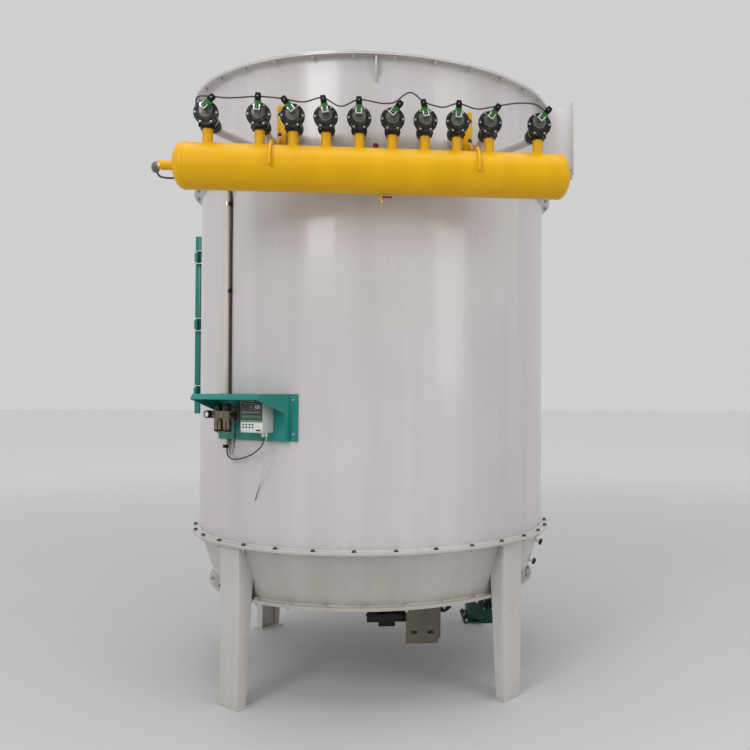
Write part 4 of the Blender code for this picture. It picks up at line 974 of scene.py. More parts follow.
@dataclass
class AccessDoor:
    """The door with its frame, hinges, gasket and pull knobs."""

    azimuth: float = -107.0
    width: float = 0.53
    height: float = 1.11
    foot: float = 1.53
    frame_face: float = 1.053
    frame_depth: float = 0.058
    bar: float = 0.05
    seal: float = 0.012
    seal_height: float = 0.0042
    clearance: float = 0.005
    thickness: float = 0.034
    sheet: float = 0.004
    hinge_along: float = 0.283
    hinge_out: float = 1.075
    hinge_spacing: float = 0.42
    knob_spacing: float = 0.25
    barrel: float = 0.0121
    barrel_length: float = 0.055
    pin: float = 0.005

    def heights(self) -> tuple[float, ...]:
        """The hinges' heights."""
        middle = self.foot + self.height / 2
        return middle - self.hinge_spacing, middle, middle + self.hinge_spacing

    def _bars(self, shape: Shape, finish: Optional[str], inset: float, bar: float, near: float, far: float,
            bevel: float, between: bool = False) -> None:
        """Two uprights and two rails round the opening, with the rails between the uprights if asked."""
        half, low, high = self.width / 2 - inset, self.foot + inset, self.foot + self.height - inset
        end = half - bar if between else half
        for x0, x1, z0, z1 in (
            (-half, -half + bar, low, high), (half - bar, half, low, high),
            (-end, end, low, low + bar), (-end, end, high - bar, high),
        ):
            shape.block((x0, near, z0), (x1, far, z1), finish, station(self.azimuth), bevel)

    def build(self) -> None:
        """Builds the frame and its hinges, then the door."""
        here = station(self.azimuth)
        half, face, x, y = self.width / 2, -self.frame_face, self.hinge_along, -self.hinge_out
        rim = Shape("body_enamel")
        self._bars(rim, None, 0.0, self.bar, face, face + self.frame_depth, 0.0006, True)
        self._bars(rim, "gasket_rubber", self.seal, self.seal, face - self.seal_height, face, 0.0006)
        reach = self.barrel_length / 2 + 0.009
        for height in self.heights():
            low, high = height - reach - 0.006, height + reach + 0.006
            rim.block((half - 0.001, face + 0.008, low), (x - self.barrel + 0.002, face + 0.035, high),
                "zinc", here, 0.0006)
            ear = [(x + self.barrel * cos(radians(turn)), y - self.barrel * sin(radians(turn)))
                for turn in range(0, 181, 15)]
            ear += [(x - self.barrel, face + 0.033), (x + self.barrel, face + 0.033)]
            for foot in (height - reach - 0.005, height + reach):
                rim.prism(ear, foot, foot + 0.005, "zinc", here, 0.0005)
            rim.rod(here @ Vector((x, y, low - 0.003)), here @ Vector((x, y, high + 0.003)), self.pin,
                "zinc", 20, 0.0006)
        rim.piece("door_surround", "door_frame")
        self._leaf(here)

    def _leaf(self, here: Matrix) -> None:
        """The folded pan, its stiffeners, barrels and knobs."""
        half, top, x, y = self.width / 2, self.foot + self.height, self.hinge_along, -self.hinge_out
        inner = -self.frame_face - self.clearance
        outer = inner - self.thickness
        leaf = Shape("teal_enamel")
        leaf.block((-half, outer, self.foot), (half, outer + self.sheet, top), None, here, 0.0012)
        self._bars(leaf, None, 0.0, self.sheet, outer + 0.001, inner, 0.0008)
        side = half - self.sheet
        for height in (self.foot + self.height / 3, self.foot + 2 * self.height / 3):
            leaf.block((-side, outer + self.sheet, height - 0.015), (side, outer + 0.022, height + 0.015),
                None, here, 0.0008)
        bore, barrel = self.pin + 0.0005, self.barrel
        for height in self.heights():
            low, high = height - self.barrel_length / 2, height + self.barrel_length / 2
            leaf.block((half - 0.002, y - 0.004, low), (x - 0.0085, y + 0.004, high), None, here, 0.0005)
            tube = [(bore, low), (barrel - 0.0006, low), (barrel, low + 0.0006), (barrel, high - 0.0006),
                (barrel - 0.0006, high), (bore, high)]
            leaf.turned(tube, None, here @ moved(x, y, 0), 28)
        knob = [(0, -0.002), (0.011, -0.002), (0.01, 0.006), (0.009, 0.02), (0.02, 0.024), (0.026, 0.03),
            (0.026, 0.038), (0.022, 0.043), (0.01, 0.0455), (0, 0.046)]
        outwards = here.to_3x3() @ OUTWARDS
        for side in (-1, 1):
            height = self.foot + self.height / 2 + side * self.knob_spacing
            spot = here @ Vector((-half + 0.06, outer, height))
            leaf.turned(knob, "knob_black", along(outwards, spot), 28)
        leaf.piece("door_leaf", "access_door", body=Body.DOOR)


@dataclass
class PulseHeader:
    """The compressed-air tank with its stubs, hangers, brackets and fittings."""

    rows: tuple[float, ...] = (0.079, 0.236, 0.391, 0.548, 0.788)
    forward: float = 1.281
    height: float = 2.733
    radius: float = 0.1095
    length: float = 1.896
    dish: float = 0.055
    stub: float = 0.0242
    stub_top: float = 2.908
    nipple: float = 0.052
    hanger_x: float = 0.487
    bracket_forward: float = 0.995
    slots: tuple[float, float] = (2.978, 3.08)

    def valve_places(self) -> list[float]:
        """The x of each valve from left to right."""
        return [-x for x in reversed(self.rows)] + list(self.rows)

    def _bar(self, shape: Shape, start: float, end: float, radius: float, finish: Optional[str],
            facets: int, bevel: float) -> None:
        """A round bar on the tank's axis from one x to another."""
        shape.rod((start, -self.forward, self.height), (end, -self.forward, self.height), radius, finish,
            facets, bevel)

    def build(self, bolts: Fasteners) -> None:
        """Builds the tank, its brackets and its fittings."""
        straight = self.length / 2 - self.dish
        end = [(self.radius * cos(radians(turn)), straight + self.dish * sin(radians(turn)))
            for turn in range(90, -1, -6)]
        end[0] = (0.0, straight + self.dish)
        right = end + [(self.radius + 0.0012, straight - 0.001), (self.radius + 0.0016, straight - 0.005),
            (self.radius + 0.0012, straight - 0.009), (self.radius, straight - 0.01)]
        left = [(radius, -reach) for radius, reach in reversed(right)]
        middle = moved(0, -self.forward, self.height)
        tank = Shape("header_yellow").turned(right + left, None, middle @ turned_by(90, "Y"), 96)
        stub, top = self.stub, self.stub_top - GAP / 2
        foot = self.height + sqrt(self.radius ** 2 - stub ** 2)
        for x in self.valve_places():
            place = moved(x, -self.forward, 0)
            tank.turned([(0, self.height), (stub, self.height), (stub, top), (0, top)], None, place, 32)
            tank.turned([(stub - 0.002, foot - 0.012), (stub + 0.006, foot - 0.01),
                (stub + 0.004, foot + 0.001), (stub, foot + 0.006), (stub - 0.002, foot + 0.006)], None,
                place, 32)
        tip = -self.length / 2
        self._bar(tank, tip + 0.03, tip - self.nipple, 0.0225, None, 32, 0.0015)
        self._hangers(tank)
        tank.piece("pulse_header", "header_tank")
        self._brackets(bolts)
        self._fittings()
        self._ends()

    def _hangers(self, tank: Shape) -> None:
        """The plates that hang the tank from its brackets."""
        outer = self.radius + 0.023
        seat = -self.bracket_forward - GAP
        plate = [(-self.forward - outer * cos(radians(turn)), self.height + outer * sin(radians(turn)))
            for turn in range(-6, 79, 6)]
        plate += [(-1.1, 2.905), (-1.03, 2.955), (seat, 2.96), (seat, 2.885), (-1.12, 2.83), (-1.19, 2.79),
            (-1.25, 2.76), (-1.33, 2.72)]
        side_on = Matrix(((0, 0, 1, 0), (1, 0, 0, 0), (0, 1, 0, 0), (0, 0, 0, 1)))
        for x in (-self.hanger_x, self.hanger_x):
            tank.prism(plate, -0.005, 0.005, None, moved(x, 0, 0) @ side_on, 0.0008)

    def _brackets(self, bolts: Fasteners) -> None:
        """The slotted angle bars on the plenum, each bolted to its hanger plate."""
        front, half = -self.bracket_forward, 0.009
        angles = [radians(15 * k + 0.01) for k in range(24)]
        spots = []
        for x, name in ((-self.hanger_x, "left"), (self.hanger_x, "right")):
            cutters = []
            for height in self.slots:
                slot = [(x + 0.006 * cos(turn), height + 0.006 * sin(turn) + copysign(half, pi - turn))
                    for turn in angles]
                rings = [[(a, y, b) for a, b in slot] for y in (front - 0.01, front + 0.02)]
                cutters.append(Shape("steel_dark").skin(rings, False).object())
                spots.append((Vector((x, front - 0.0004, height + 0.004)), Facing.FRONT))
            refined(f"header_bracket_{name}", "header_yellow", 0.0008, cutters)
        bolts.piece("bracket_bolts", spots, 0.014, "bolt_zinc", 0.016, 21)

    def _fittings(self) -> None:
        """The safety valve and the drain valve."""
        back = 0.062
        foot = self.height + sqrt(self.radius ** 2 - back ** 2) - 0.008
        place = moved(0, -self.forward + back, foot)
        relief = Shape("brass")
        relief.turned([(0, 0), (0.012, 0), (0.012, 0.028), (0.008, 0.03), (0.008, 0.044), (0, 0.044)], None,
            place, 6)
        relief.turned([(0, 0.044), (0.011, 0.044), (0.013, 0.047), (0.013, 0.065), (0.01, 0.07), (0, 0.07)],
            "cap_red", place, 24)
        relief.piece("relief_valve", "safety_valve")
        x, y, top = 0.031, -self.forward, self.height - self.radius
        place = moved(x, y, top)
        drain = Shape("brass")
        drain.turned([(0, 0.002), (0.009, 0.002), (0.009, -0.01), (0, -0.01)], None, place, 20)
        drain.turned([(0, -0.01), (0.013, -0.01), (0.0135, -0.018), (0.013, -0.027), (0, -0.027)], None,
            place, 6)
        drain.turned([(0, -0.027), (0.008, -0.028), (0.008, -0.04), (0.006, -0.0405), (0, -0.0405)], None,
            place, 20)
        drain.block((x, y - 0.019, top - 0.022), (x + 0.012, y - 0.01, top - 0.016), "zinc")
        drain.block((x - 0.003, y - 0.019, top - 0.022), (x + 0.048, y - 0.016, top - 0.012), "cap_red",
            bevel=0.001)
        drain.piece("drain_cock", "drain_valve")

    def _ends(self) -> None:
        """The plug on the tank's right end and the inlet elbow on its left."""
        end = self.length / 2
        plug = Shape("zinc")
        self._bar(plug, end - 0.004, end + 0.006, 0.017, "header_yellow", 28, 0.002)
        self._bar(plug, end + 0.004, end + 0.014, 0.01, None, 6, 0.001)
        plug.piece("end_plug")
        start = -end - self.nipple - GAP
        # The elbow takes the paler casting, partly painted highlight.
        elbow = Shape("pale_casting_and_painted_highlight")
        steps = ((0, 0, 0), (-0.014, 0, 0), (-0.026, 0.006, -0.0012), (-0.033, 0.022, -0.006),
            (-0.034, 0.034, -0.009), ELBOW)
        path = [Vector((start, -self.forward, self.height)) + Vector(step) for step in steps]
        elbow.pipe(smooth_route(path, 0.004), 0.0165, None, 24)
        mouth = path[-1]
        elbow.rod(mouth - 0.02 * ELBOW_AHEAD, mouth - 0.002 * ELBOW_AHEAD, 0.0183, None, 8, 0.001)
        self._bar(elbow, start, start - 0.012, 0.0205, "brass", 6, 0.001)
        elbow.piece("inlet_elbow", "header_elbow")


@dataclass
class PulseValve:
    """A right-angle diaphragm valve with its coil, plug and rubber sleeve."""

    name: str
    x: float
    coil_turn: float
    forward: float = 1.281
    height: float = 2.972
    stub_top: float = 2.908
    bonnet: float = 0.0575
    sleeve: float = 0.036
    sleeve_end: float = 0.172
    screws: int = 6
    screw_circle: float = 0.049
    pilot_lift: float = 0.018

    def build(self, bolts: Fasteners) -> None:
        """Builds the casting, its screws, the coil and the sleeve."""
        centre = Vector((self.x, -self.forward, self.height))
        back = along((0, 1, 0), centre)
        valve = Shape("valve_casting")
        self._casting(valve, back)
        self._neck(valve)
        self._coil(valve, centre + Vector((0, 0, self.pilot_lift)))
        self._sleeve(valve, back)
        valve.piece(self.name, self.name)
        spots = []
        for i in range(self.screws):
            turn = radians(360 * (i + 0.5) / self.screws)
            reach = Vector((self.screw_circle * sin(turn), -0.0525, self.screw_circle * cos(turn)))
            spots.append((centre + reach, Facing.FRONT))
        bolts.piece(f"{self.name}_screws", spots, 0.008, "zinc", 0.0012, 5)

    def _casting(self, valve: Shape, back: Matrix) -> None:
        """The bonnet with its ribs and bosses, and the body behind it."""
        r = self.bonnet
        valve.turned([(0, -0.04), (r, -0.0435), (r, -0.0485), (r - 0.0015, -0.05), (0.0425, -0.0502),
            (0.0405, -0.052), (0.04, -0.0555), (0.0385, -0.057), (0, -0.0575)], None, back, 56)
        # The raised pilot cover takes the paler casting, partly painted highlight on its ring.
        valve.turned([(0, -0.048), (0.032, -0.048), (0.032, -0.058), (0.0305, -0.06), (0.024, -0.0604),
            (0.022, -0.0655), (0.018, -0.066), (0.017, -0.069), (0, -0.069)], "pale_casting_and_painted_highlight",
            moved(0, 0, 0.5 * self.pilot_lift) @ back, 48)
        valve.turned([(0, -0.034), (r - 0.0035, -0.034), (r - 0.0035, -0.0437), (0, -0.0437)],
            "gasket_rubber", back, 48)
        valve.turned([(0, -0.0425), (r, -0.0425), (r, -0.036), (r - 0.002, -0.034), (r - 0.006, -0.0315),
            (0.047, -0.028), (0.0455, 0), (0.0425, 0.008), (0.036, 0.016), (0.031, 0.021), (0.027, 0.026),
            (0.027, 0.047), (0, 0.047)], None, back, 56)
        boss = [(0, -0.0527), (0.007, -0.0527), (0.0078, -0.0495), (0.0085, -0.0455), (0.0085, -0.031),
            (0, -0.031)]
        for turn in turns(self.screws, 0.5):
            valve.turned(boss, None, back @ turn @ moved(0, 0.048, 0), 16)
        for turn in turns(self.screws):
            valve.block((-0.0022, 0.034, -0.056), (0.0022, 0.052, -0.049), None, back @ turn, 0.0008)
        valve.turned([(0, 0.026), (0.0325, 0.026), (0.0325, 0.041), (0, 0.041)], None, back, 6)

    def _neck(self, valve: Shape) -> None:
        """The inlet neck with its clamping nut and two lugs, on the header's stub."""
        foot = moved(self.x, -self.forward + 0.004, 0)
        low = self.stub_top + GAP / 2
        valve.turned([(0, low), (0.034, low), (0.0355, low + 0.002), (0.0355, low + 0.015),
            (0.034, low + 0.017), (0, low + 0.017)], "steel_dark", foot, 8)
        valve.turned([(0, low + 0.015), (0.0305, low + 0.017), (0.0285, low + 0.024), (0.029, low + 0.05),
            (0, low + 0.05)], None, foot, 32)
        for x in (-0.0335, 0.0335):
            valve.block((x - 0.0045, -0.03, low + 0.004), (x + 0.0045, -0.018, low + 0.02), "steel_dark",
                foot, 0.002)

    def _coil(self, valve: Shape, centre: Vector) -> None:
        """The pilot, its green coil, the bright stirrup and nut, and the black plug."""
        turn = Matrix.Translation(centre) @ turned_by(self.coil_turn, "Y")
        outwards = turn @ along((0, -1, 0))
        valve.turned([(0, 0.066), (0.014, 0.066), (0.014, 0.074), (0, 0.074)], "zinc", outwards, 24)
        valve.block((-0.016, -0.0975, -0.014), (0.016, -0.0735, 0.036), "coil_green", turn, 0.0035)
        valve.turned([(0, -0.0975), (0.0135, -0.0975), (0.0135, -0.0995), (0, -0.0995)], "coil_green",
            turn @ along((0, 1, 0)), 24)
        stirrup = [(-0.015, 0.014), (-0.015, -0.0145), (0.015, -0.0145), (0.015, 0.014), (0.0095, 0.014),
            (0.0095, -0.0075), (-0.0095, -0.0075), (-0.0095, 0.014)]
        rings = [[(a, y, b) for a, b in stirrup] for y in (-0.1025, -0.097)]
        valve.skin(rings, False, "chrome", turn, 0.0008)
        valve.turned([(0, 0.094), (0.007, 0.094), (0.007, 0.101), (0.006, 0.102), (0, 0.102)], "steel_dark",
            outwards, 6)
        valve.turned([(0, 0.1015), (0.003, 0.1015), (0.0026, 0.106), (0, 0.106)], "zinc", outwards, 12)
        valve.block((-0.014, -0.107, 0.0345), (0.014, -0.0885, 0.06), "plug_black", turn, 0.003)
        valve.block((-0.012, -0.106, 0.056), (0.012, -0.089, 0.067), "plug_black", turn, 0.003)
        valve.turned([(0, -0.003), (0.0026, -0.003), (0.0024, 0.0012), (0, 0.0015)], "zinc",
            turn @ along((0, -1, 0), (0, -0.1062, 0.05)), 12)

    def _sleeve(self, valve: Shape, back: Matrix) -> None:
        """The rubber sleeve over the row pipe's mouth, with its two worm clamps."""
        end, r, wide = self.sleeve_end, self.sleeve, 0.01
        valve.turned([(0, 0.046), (r - 0.001, 0.046), (r - 0.0005, 0.049), (r - 0.0008, end - 0.002),
            (r - 0.002, end), (0, end)], "sleeve_rubber", back, 36)
        for at in (0.054, end - 0.019):
            valve.turned([(r - 0.002, at), (r, at), (r, at + wide), (r - 0.002, at + wide)], "zinc", back,
                36)
            valve.block((-0.007, r - 0.001, at), (0.007, r + 0.006, at + wide), "zinc", back, 0.001)
            screw = [back @ Vector((x, r + 0.0025, at + wide / 2)) for x in (-0.01, 0.008)]
            valve.rod(*screw, 0.0028, "zinc", 12)


@dataclass
class RowPipes:
    """The pipes from the valves' sleeves into the plenum and the blow tubes inside it."""

    radius: float = 0.024
    height: float = 2.972
    shell: float = 1.05
    entry_limit: float = 0.66
    start: float = 1.1087

    def build(self, places: Sequence[float]) -> None:
        """Builds the pipes outside and the tubes inside."""
        pipes = Shape("body_enamel")
        for x in places:
            entry_x = copysign(min(abs(x), self.entry_limit), x)
            entry = Vector((entry_x, -sqrt(self.shell ** 2 - entry_x ** 2), self.height))
            start = Vector((x, -self.start, self.height))
            ahead = (entry - start).normalized()
            if entry_x == x:
                route = [start, (start + entry) / 2, entry + Vector((0, 0.03, 0))]
            else:
                bend = start + Vector((0, 0.04, 0)).lerp(entry - start, 0.12)
                route = [start, start + Vector((0, 0.02, 0)), bend, entry, entry + 0.03 * ahead]
            pipes.pipe(smooth_route(route, 0.01), self.radius, None, 28)
            collar = entry - 0.004 * ahead
            pipes.rod(collar - 0.004 * ahead, collar + 0.012 * ahead, self.radius + 0.005, None, 28, 0.003)
        pipes.piece("row_pipes")
        refined("blow_tubes", "body_enamel", 0.0006)


@dataclass
class Supports:
    """The legs with their foot plates, anchor holes and welds."""

    azimuths: tuple[tuple[str, float], ...] = (
        ("front_left", -45.0), ("front_right", 45.0), ("rear_right", 135.0), ("rear_left", -135.0),
    )
    face: float = 1.075
    half_foot: float = 0.076
    foot: float = 0.01
    hole_x: float = 0.045
    hole_y: float = 0.04
    hole: float = 0.009

    def build(self) -> None:
        """Refines each leg, drills its foot plate and adds its weld."""
        welds = Shape("leg_enamel")
        for name, azimuth in self.azimuths:
            here = station(azimuth)
            cutters = []
            for x in (-self.hole_x, self.hole_x):
                ends = [here @ Vector((x, -self.face + self.hole_y, z)) for z in (-0.01, 0.02)]
                cutters.append(Shape("leg_enamel").rod(*ends, self.hole).object())
            refined(f"leg_{name}", "leg_enamel", 0.0012, cutters)
            ends = [here @ Vector((x, -self.face, self.foot + 0.0005))
                for x in (-self.half_foot, self.half_foot)]
            welds.rod(*ends, 0.003, None, 8)
        welds.piece("foot_welds")


@dataclass
class Ducts:
    """The outlet and inlet ducts with their drilled flanges."""

    outlet_face: float = 1.178
    outlet_half: float = 0.4
    outlet_top: float = 3.3764
    outlet_height: float = 0.36
    inlet_face: float = 1.25
    inlet: tuple[float, float, float, float] = (0.62, 1.02, 0.93, 1.37)
    margin: float = 0.02
    pitch: float = 0.1
    hole: float = 0.006

    def _line(self, low: float, high: float) -> list[float]:
        """Places evenly spread from low to high, about a pitch apart."""
        count = max(2, round((high - low) / self.pitch) + 1)
        return [low + (high - low) * i / (count - 1) for i in range(count)]

    def _drilled(self, node: str, box: Sequence[float], face: float, turned: bool) -> None:
        """Refines a duct and drills holes round its mouth, which faces +Y, or +X if turned."""
        a0, a1, b0, b1 = box
        a0, a1, b0, b1 = a0 - self.margin, a1 + self.margin, b0 - self.margin, b1 + self.margin
        spots = [(a, b) for a in self._line(a0, a1) for b in (b0, b1)]
        spots += [(a, b) for b in self._line(b0, b1)[1:-1] for a in (a0, a1)]
        drill = Shape("body_enamel")
        for a, b in spots:
            ends = [(y, a, b) if turned else (a, y, b) for y in (face - 0.02, face + 0.01)]
            drill.rod(*ends, self.hole, None, 16)
        refined(node, "body_enamel", 0.0008, [drill.object()])

    def build(self) -> None:
        """Refines both ducts."""
        outlet = (-self.outlet_half, self.outlet_half, self.outlet_top - self.outlet_height,
            self.outlet_top)
        self._drilled("outlet_duct", outlet, self.outlet_face, True)
        self._drilled("inlet_duct", self.inlet, self.inlet_face, False)


@dataclass
class Instruments:
    """The shelf with the air filter, the regulator and the pulse controller."""

    azimuth: float = -37.0
    face: float = 1.0653
    shelf_flange: float = 0.258
    hood_reach: float = 1.262
    lip: float = 0.028
    lip_lean: float = 0.016
    shell: float = 1.05

    def build(self, bolts: Fasteners) -> None:
        """Builds the shelf and what hangs on it."""
        here = station(self.azimuth)

        def lean(mesh: bmesh.types.BMesh) -> None:
            """Tilts the hood's lip back towards its top."""
            top = max(corner.co.z for corner in mesh.verts)
            for corner in mesh.verts:
                place = here.inverted() @ (corner.co - AXIS)
                if place.y < 0.0035 - self.hood_reach:
                    place.y += self.lip_lean * (place.z - top + self.lip) / self.lip
                    corner.co = here @ place + AXIS

        refined("instrument_shelf", "teal_enamel", 0.0006, reshape=lean)
        outwards = here.to_3x3() @ OUTWARDS
        seat = sqrt(self.shell ** 2 - self.shelf_flange ** 2) + 0.008
        spots = [(here @ Vector((x, -seat - 0.0006, height)), outwards)
            for x in (-self.shelf_flange, self.shelf_flange) for height in (1.455, 1.628)]
        bolts.piece("shelf_bolts", spots, 0.013, "zinc", PLAIN_HEAD, 11)
        self._filter(here, outwards)
        self._controller(here, outwards)

    def _filter(self, here: Matrix, outwards: Vector) -> None:
        """The filter and lubricator bowls under their heads, and the round gauge."""
        face = self.face
        unit = Shape("regulator_grey")
        unit.block((-0.205, -face - 0.105, 1.532), (-0.052, -face - 0.062, 1.572), None, here, 0.003)
        unit.block((-0.15, -face - 0.07, 1.536), (-0.11, -face, 1.568), None, here, 0.002)
        unit.block((-0.18, -face - 0.004, 1.515), (-0.08, -face, 1.59), None, here, 0.001)
        for x in (-0.148, -0.086):
            place = here @ moved(x, -face - 0.084, 0)
            for finish, facets, profile in (
                ("bowl_clear", 32, [(0, 1.458), (0.01, 1.458), (0.016, 1.462), (0.0195, 1.472),
                                    (0.0205, 1.49), (0.0205, 1.534), (0, 1.534)]),
                (None, 32, [(0.0195, 1.518), (0.0225, 1.518), (0.0225, 1.534), (0.0195, 1.534)]),
                ("knob_black", 32, [(0.015, 1.462), (0.0205, 1.466), (0.0222, 1.474), (0.0205, 1.474),
                                    (0.015, 1.466)]),
                ("brass", 16, [(0, 1.452), (0.005, 1.452), (0.005, 1.46), (0, 1.46)]),
                ("knob_black", 20, [(0, 1.57), (0.0185, 1.57), (0.019, 1.574), (0.019, 1.602), (0.016, 1.608),
                                    (0.008, 1.61), (0, 1.61)]),
            ):
                unit.turned(profile, finish, place, facets)
            for turn in turns(6, 0.5):
                unit.block((-0.0034, -0.0226, 1.464), (0.0034, -0.0196, 1.52), "knob_black", place @ turn,
                    0.0006)
        place = along(outwards, here @ Vector((-0.195, -face - 0.104, 1.553)))
        unit.turned([(0, -0.001), (0.019, -0.001), (0.021, 0.003), (0.021, 0.02), (0.0195, 0.022),
            (0.015, 0.022), (0.015, 0.018), (0, 0.018)], "knob_black", place, 40)
        unit.turned([(0, 0.0178), (0.015, 0.0178), (0.015, 0.019), (0, 0.019)], "dial_white", place, 40)
        for step in range(11):
            tick = place @ turned_by(-135 + 27 * step, "Z")
            unit.block((-0.0005, 0.0105, 0.0189), (0.0005, 0.0138, 0.0193), "dial_black", tick)
        unit.block((-0.0005, -0.003, 0.019), (0.0005, 0.012, 0.0196), "dial_black",
            place @ turned_by(40, "Z"))
        start, bend = [here @ Vector((x, -face - 0.084, 1.552)) for x in (-0.06, -0.028)]
        path = [start, start.lerp(bend, 0.55)] + [bend - Vector((0, 0, drop))
            for drop in (0.0018, 0.012, 0.027)]
        unit.pipe(smooth_route(path, 0.003), 0.0085, "plug_black", 20)
        unit.piece("air_preparation", "filter_regulator")

    def _controller(self, here: Matrix, outwards: Vector) -> None:
        """The controller: grey case, clear lid over its board and a bare panel below."""
        face, front = self.face, -self.face - 0.078
        case = Shape("case_grey")
        case.block((0.004, front, 1.462), (0.162, -face, 1.626), None, here, 0.004)

        def plate(x: float, wide: float, low: float, high: float, proud: float, finish: str,
                bevel: float = 0.0004, root: float = -0.001) -> None:
            """A block that stands proud of the controller's front."""
            case.block((x, front - proud, low), (x + wide, front + root, high), finish, here, bevel)

        plate(0.008, 0.15, 1.526, 1.622, 0.0012, "knob_black", root=0.001)
        plate(0.014, 0.138, 1.534, 1.6, 0.0022, "board_green")
        for column in range(10):
            x = 0.018 + 0.0138 * column
            plate(x, 0.01, 1.54, 1.55, 0.005, "stripe_green")
            plate(x + 0.001, 0.005, 1.5535, 1.558, 0.0035, "dial_black", 0.0003)
        plate(0.02, 0.042, 1.575, 1.606, 0.004, "dial_black", 0.0005)
        plate(0.146, 0.011, 1.528, 1.62, 0.0045, "knob_black", 0.0005)
        for column in range(7):
            x = 0.024 + 0.017 * column
            plate(x, 0.006, 1.564, 1.569, 0.0032, "panel_white", 0.0003)
            case.turned([(0, 0), (0.0028, 0), (0.0028, 0.0032), (0, 0.0034)], "zinc",
                along(outwards, here @ Vector((x + 0.008, front - 0.001, 1.611))), 12)
        plate(0.075, 0.023, 1.59, 1.602, 0.0035, "cap_red", 0.0005)
        for x in (0.112, 0.126, 0.14):
            plate(x, 0.008, 1.585, 1.604, 0.004, "panel_white")
        plate(0.008, 0.15, 1.524, 1.622, 0.006, "lid_clear", 0.002, 0.001)
        plate(0.008, 0.15, 1.5165, 1.523, 0.0015, "stripe_green", root=0.001)
        plate(0.008, 0.15, 1.468, 1.516, 0.0015, "panel_white", root=0.001)
        for column in range(4):
            for z in (1.486, 1.5):
                plate(0.02 + 0.022 * column, 0.012, z, z + 0.007, 0.0026, "knob_black", 0.0006, -0.0012)
        plate(0.118, 0.028, 1.472, 1.48, 0.0024, "knob_black", 0.0006, -0.0012)
        for x, height in ((0.013, 1.473), (0.153, 1.473), (0.013, 1.617), (0.153, 1.617)):
            place = along(outwards, here @ Vector((x, front - 0.0055, height)))
            case.turned([(0, 0), (0.0032, 0), (0.0028, 0.0014), (0, 0.0016)], "zinc", place, 14)
        for x, radius in ((0.128, 0.0095), (0.15, 0.006)):
            foot, head = [here @ Vector((x, -face - 0.04, z)) for z in (1.464, 1.44)]
            case.rod(foot, head, radius * 0.8, None, 20, 0.0008)
            case.rod(foot.lerp(head, 0.2), foot.lerp(head, 0.7), radius, "panel_white", 6, 0.0008)
        case.piece("pulse_controller", "controller_box")


@dataclass
class Conduit:
    """The rigid conduit down the casing with its saddles."""

    azimuth: float = -47.95
    radius: float = 0.015
    out: float = 1.0665
    foot: float = 1.37
    top: float = 2.78
    bush: float = 0.018
    saddles: tuple[float, ...] = (2.681, 2.213)

    def build(self) -> None:
        """Builds the tube, its end bushes and its saddles."""
        here = station(self.azimuth)
        tube = Shape("conduit_beige")
        foot, top = [here @ Vector((0, -self.out, z)) for z in (self.foot, self.top)]
        bush = Vector((0, 0, self.bush))
        tube.rod(foot, top, self.radius - 0.0006, None, 28, 0.001)
        for start, end in ((foot, foot + bush), (top - bush, top)):
            tube.rod(start, end, self.radius, "plug_black", 28, 0.001)
        near, far = self.radius - 0.0008, self.radius + 0.0012
        for height in self.saddles:
            low, high = height - 0.01, height + 0.01
            tube.turned([(near, low), (far, low), (far, high), (near, high)], "chrome",
                here @ moved(0, -self.out, 0), 28)
            for half, depth, finish in ((0.0115, 0.006, "plug_black"), (0.01, 0.0035, "chrome")):
                tube.block((-0.034, -self.out + depth, height - half),
                    (-0.012, -self.out + 0.0102, height + half), finish, here, 0.0006)
            screw = along(here.to_3x3() @ OUTWARDS, here @ Vector((-0.025, -self.out + 0.0035, height)))
            tube.turned([(0, -0.001), (0.0052, -0.001), (0.0046, 0.0026), (0.0024, 0.0034), (0, 0.0034)],
                "steel_dark", screw, 14)
            tube.block((0.012, -self.out - 0.003, low), (0.033, -self.out + 0.009, high), "plug_black",
                here, 0.002)
        tube.piece("cable_conduit", "conduit")


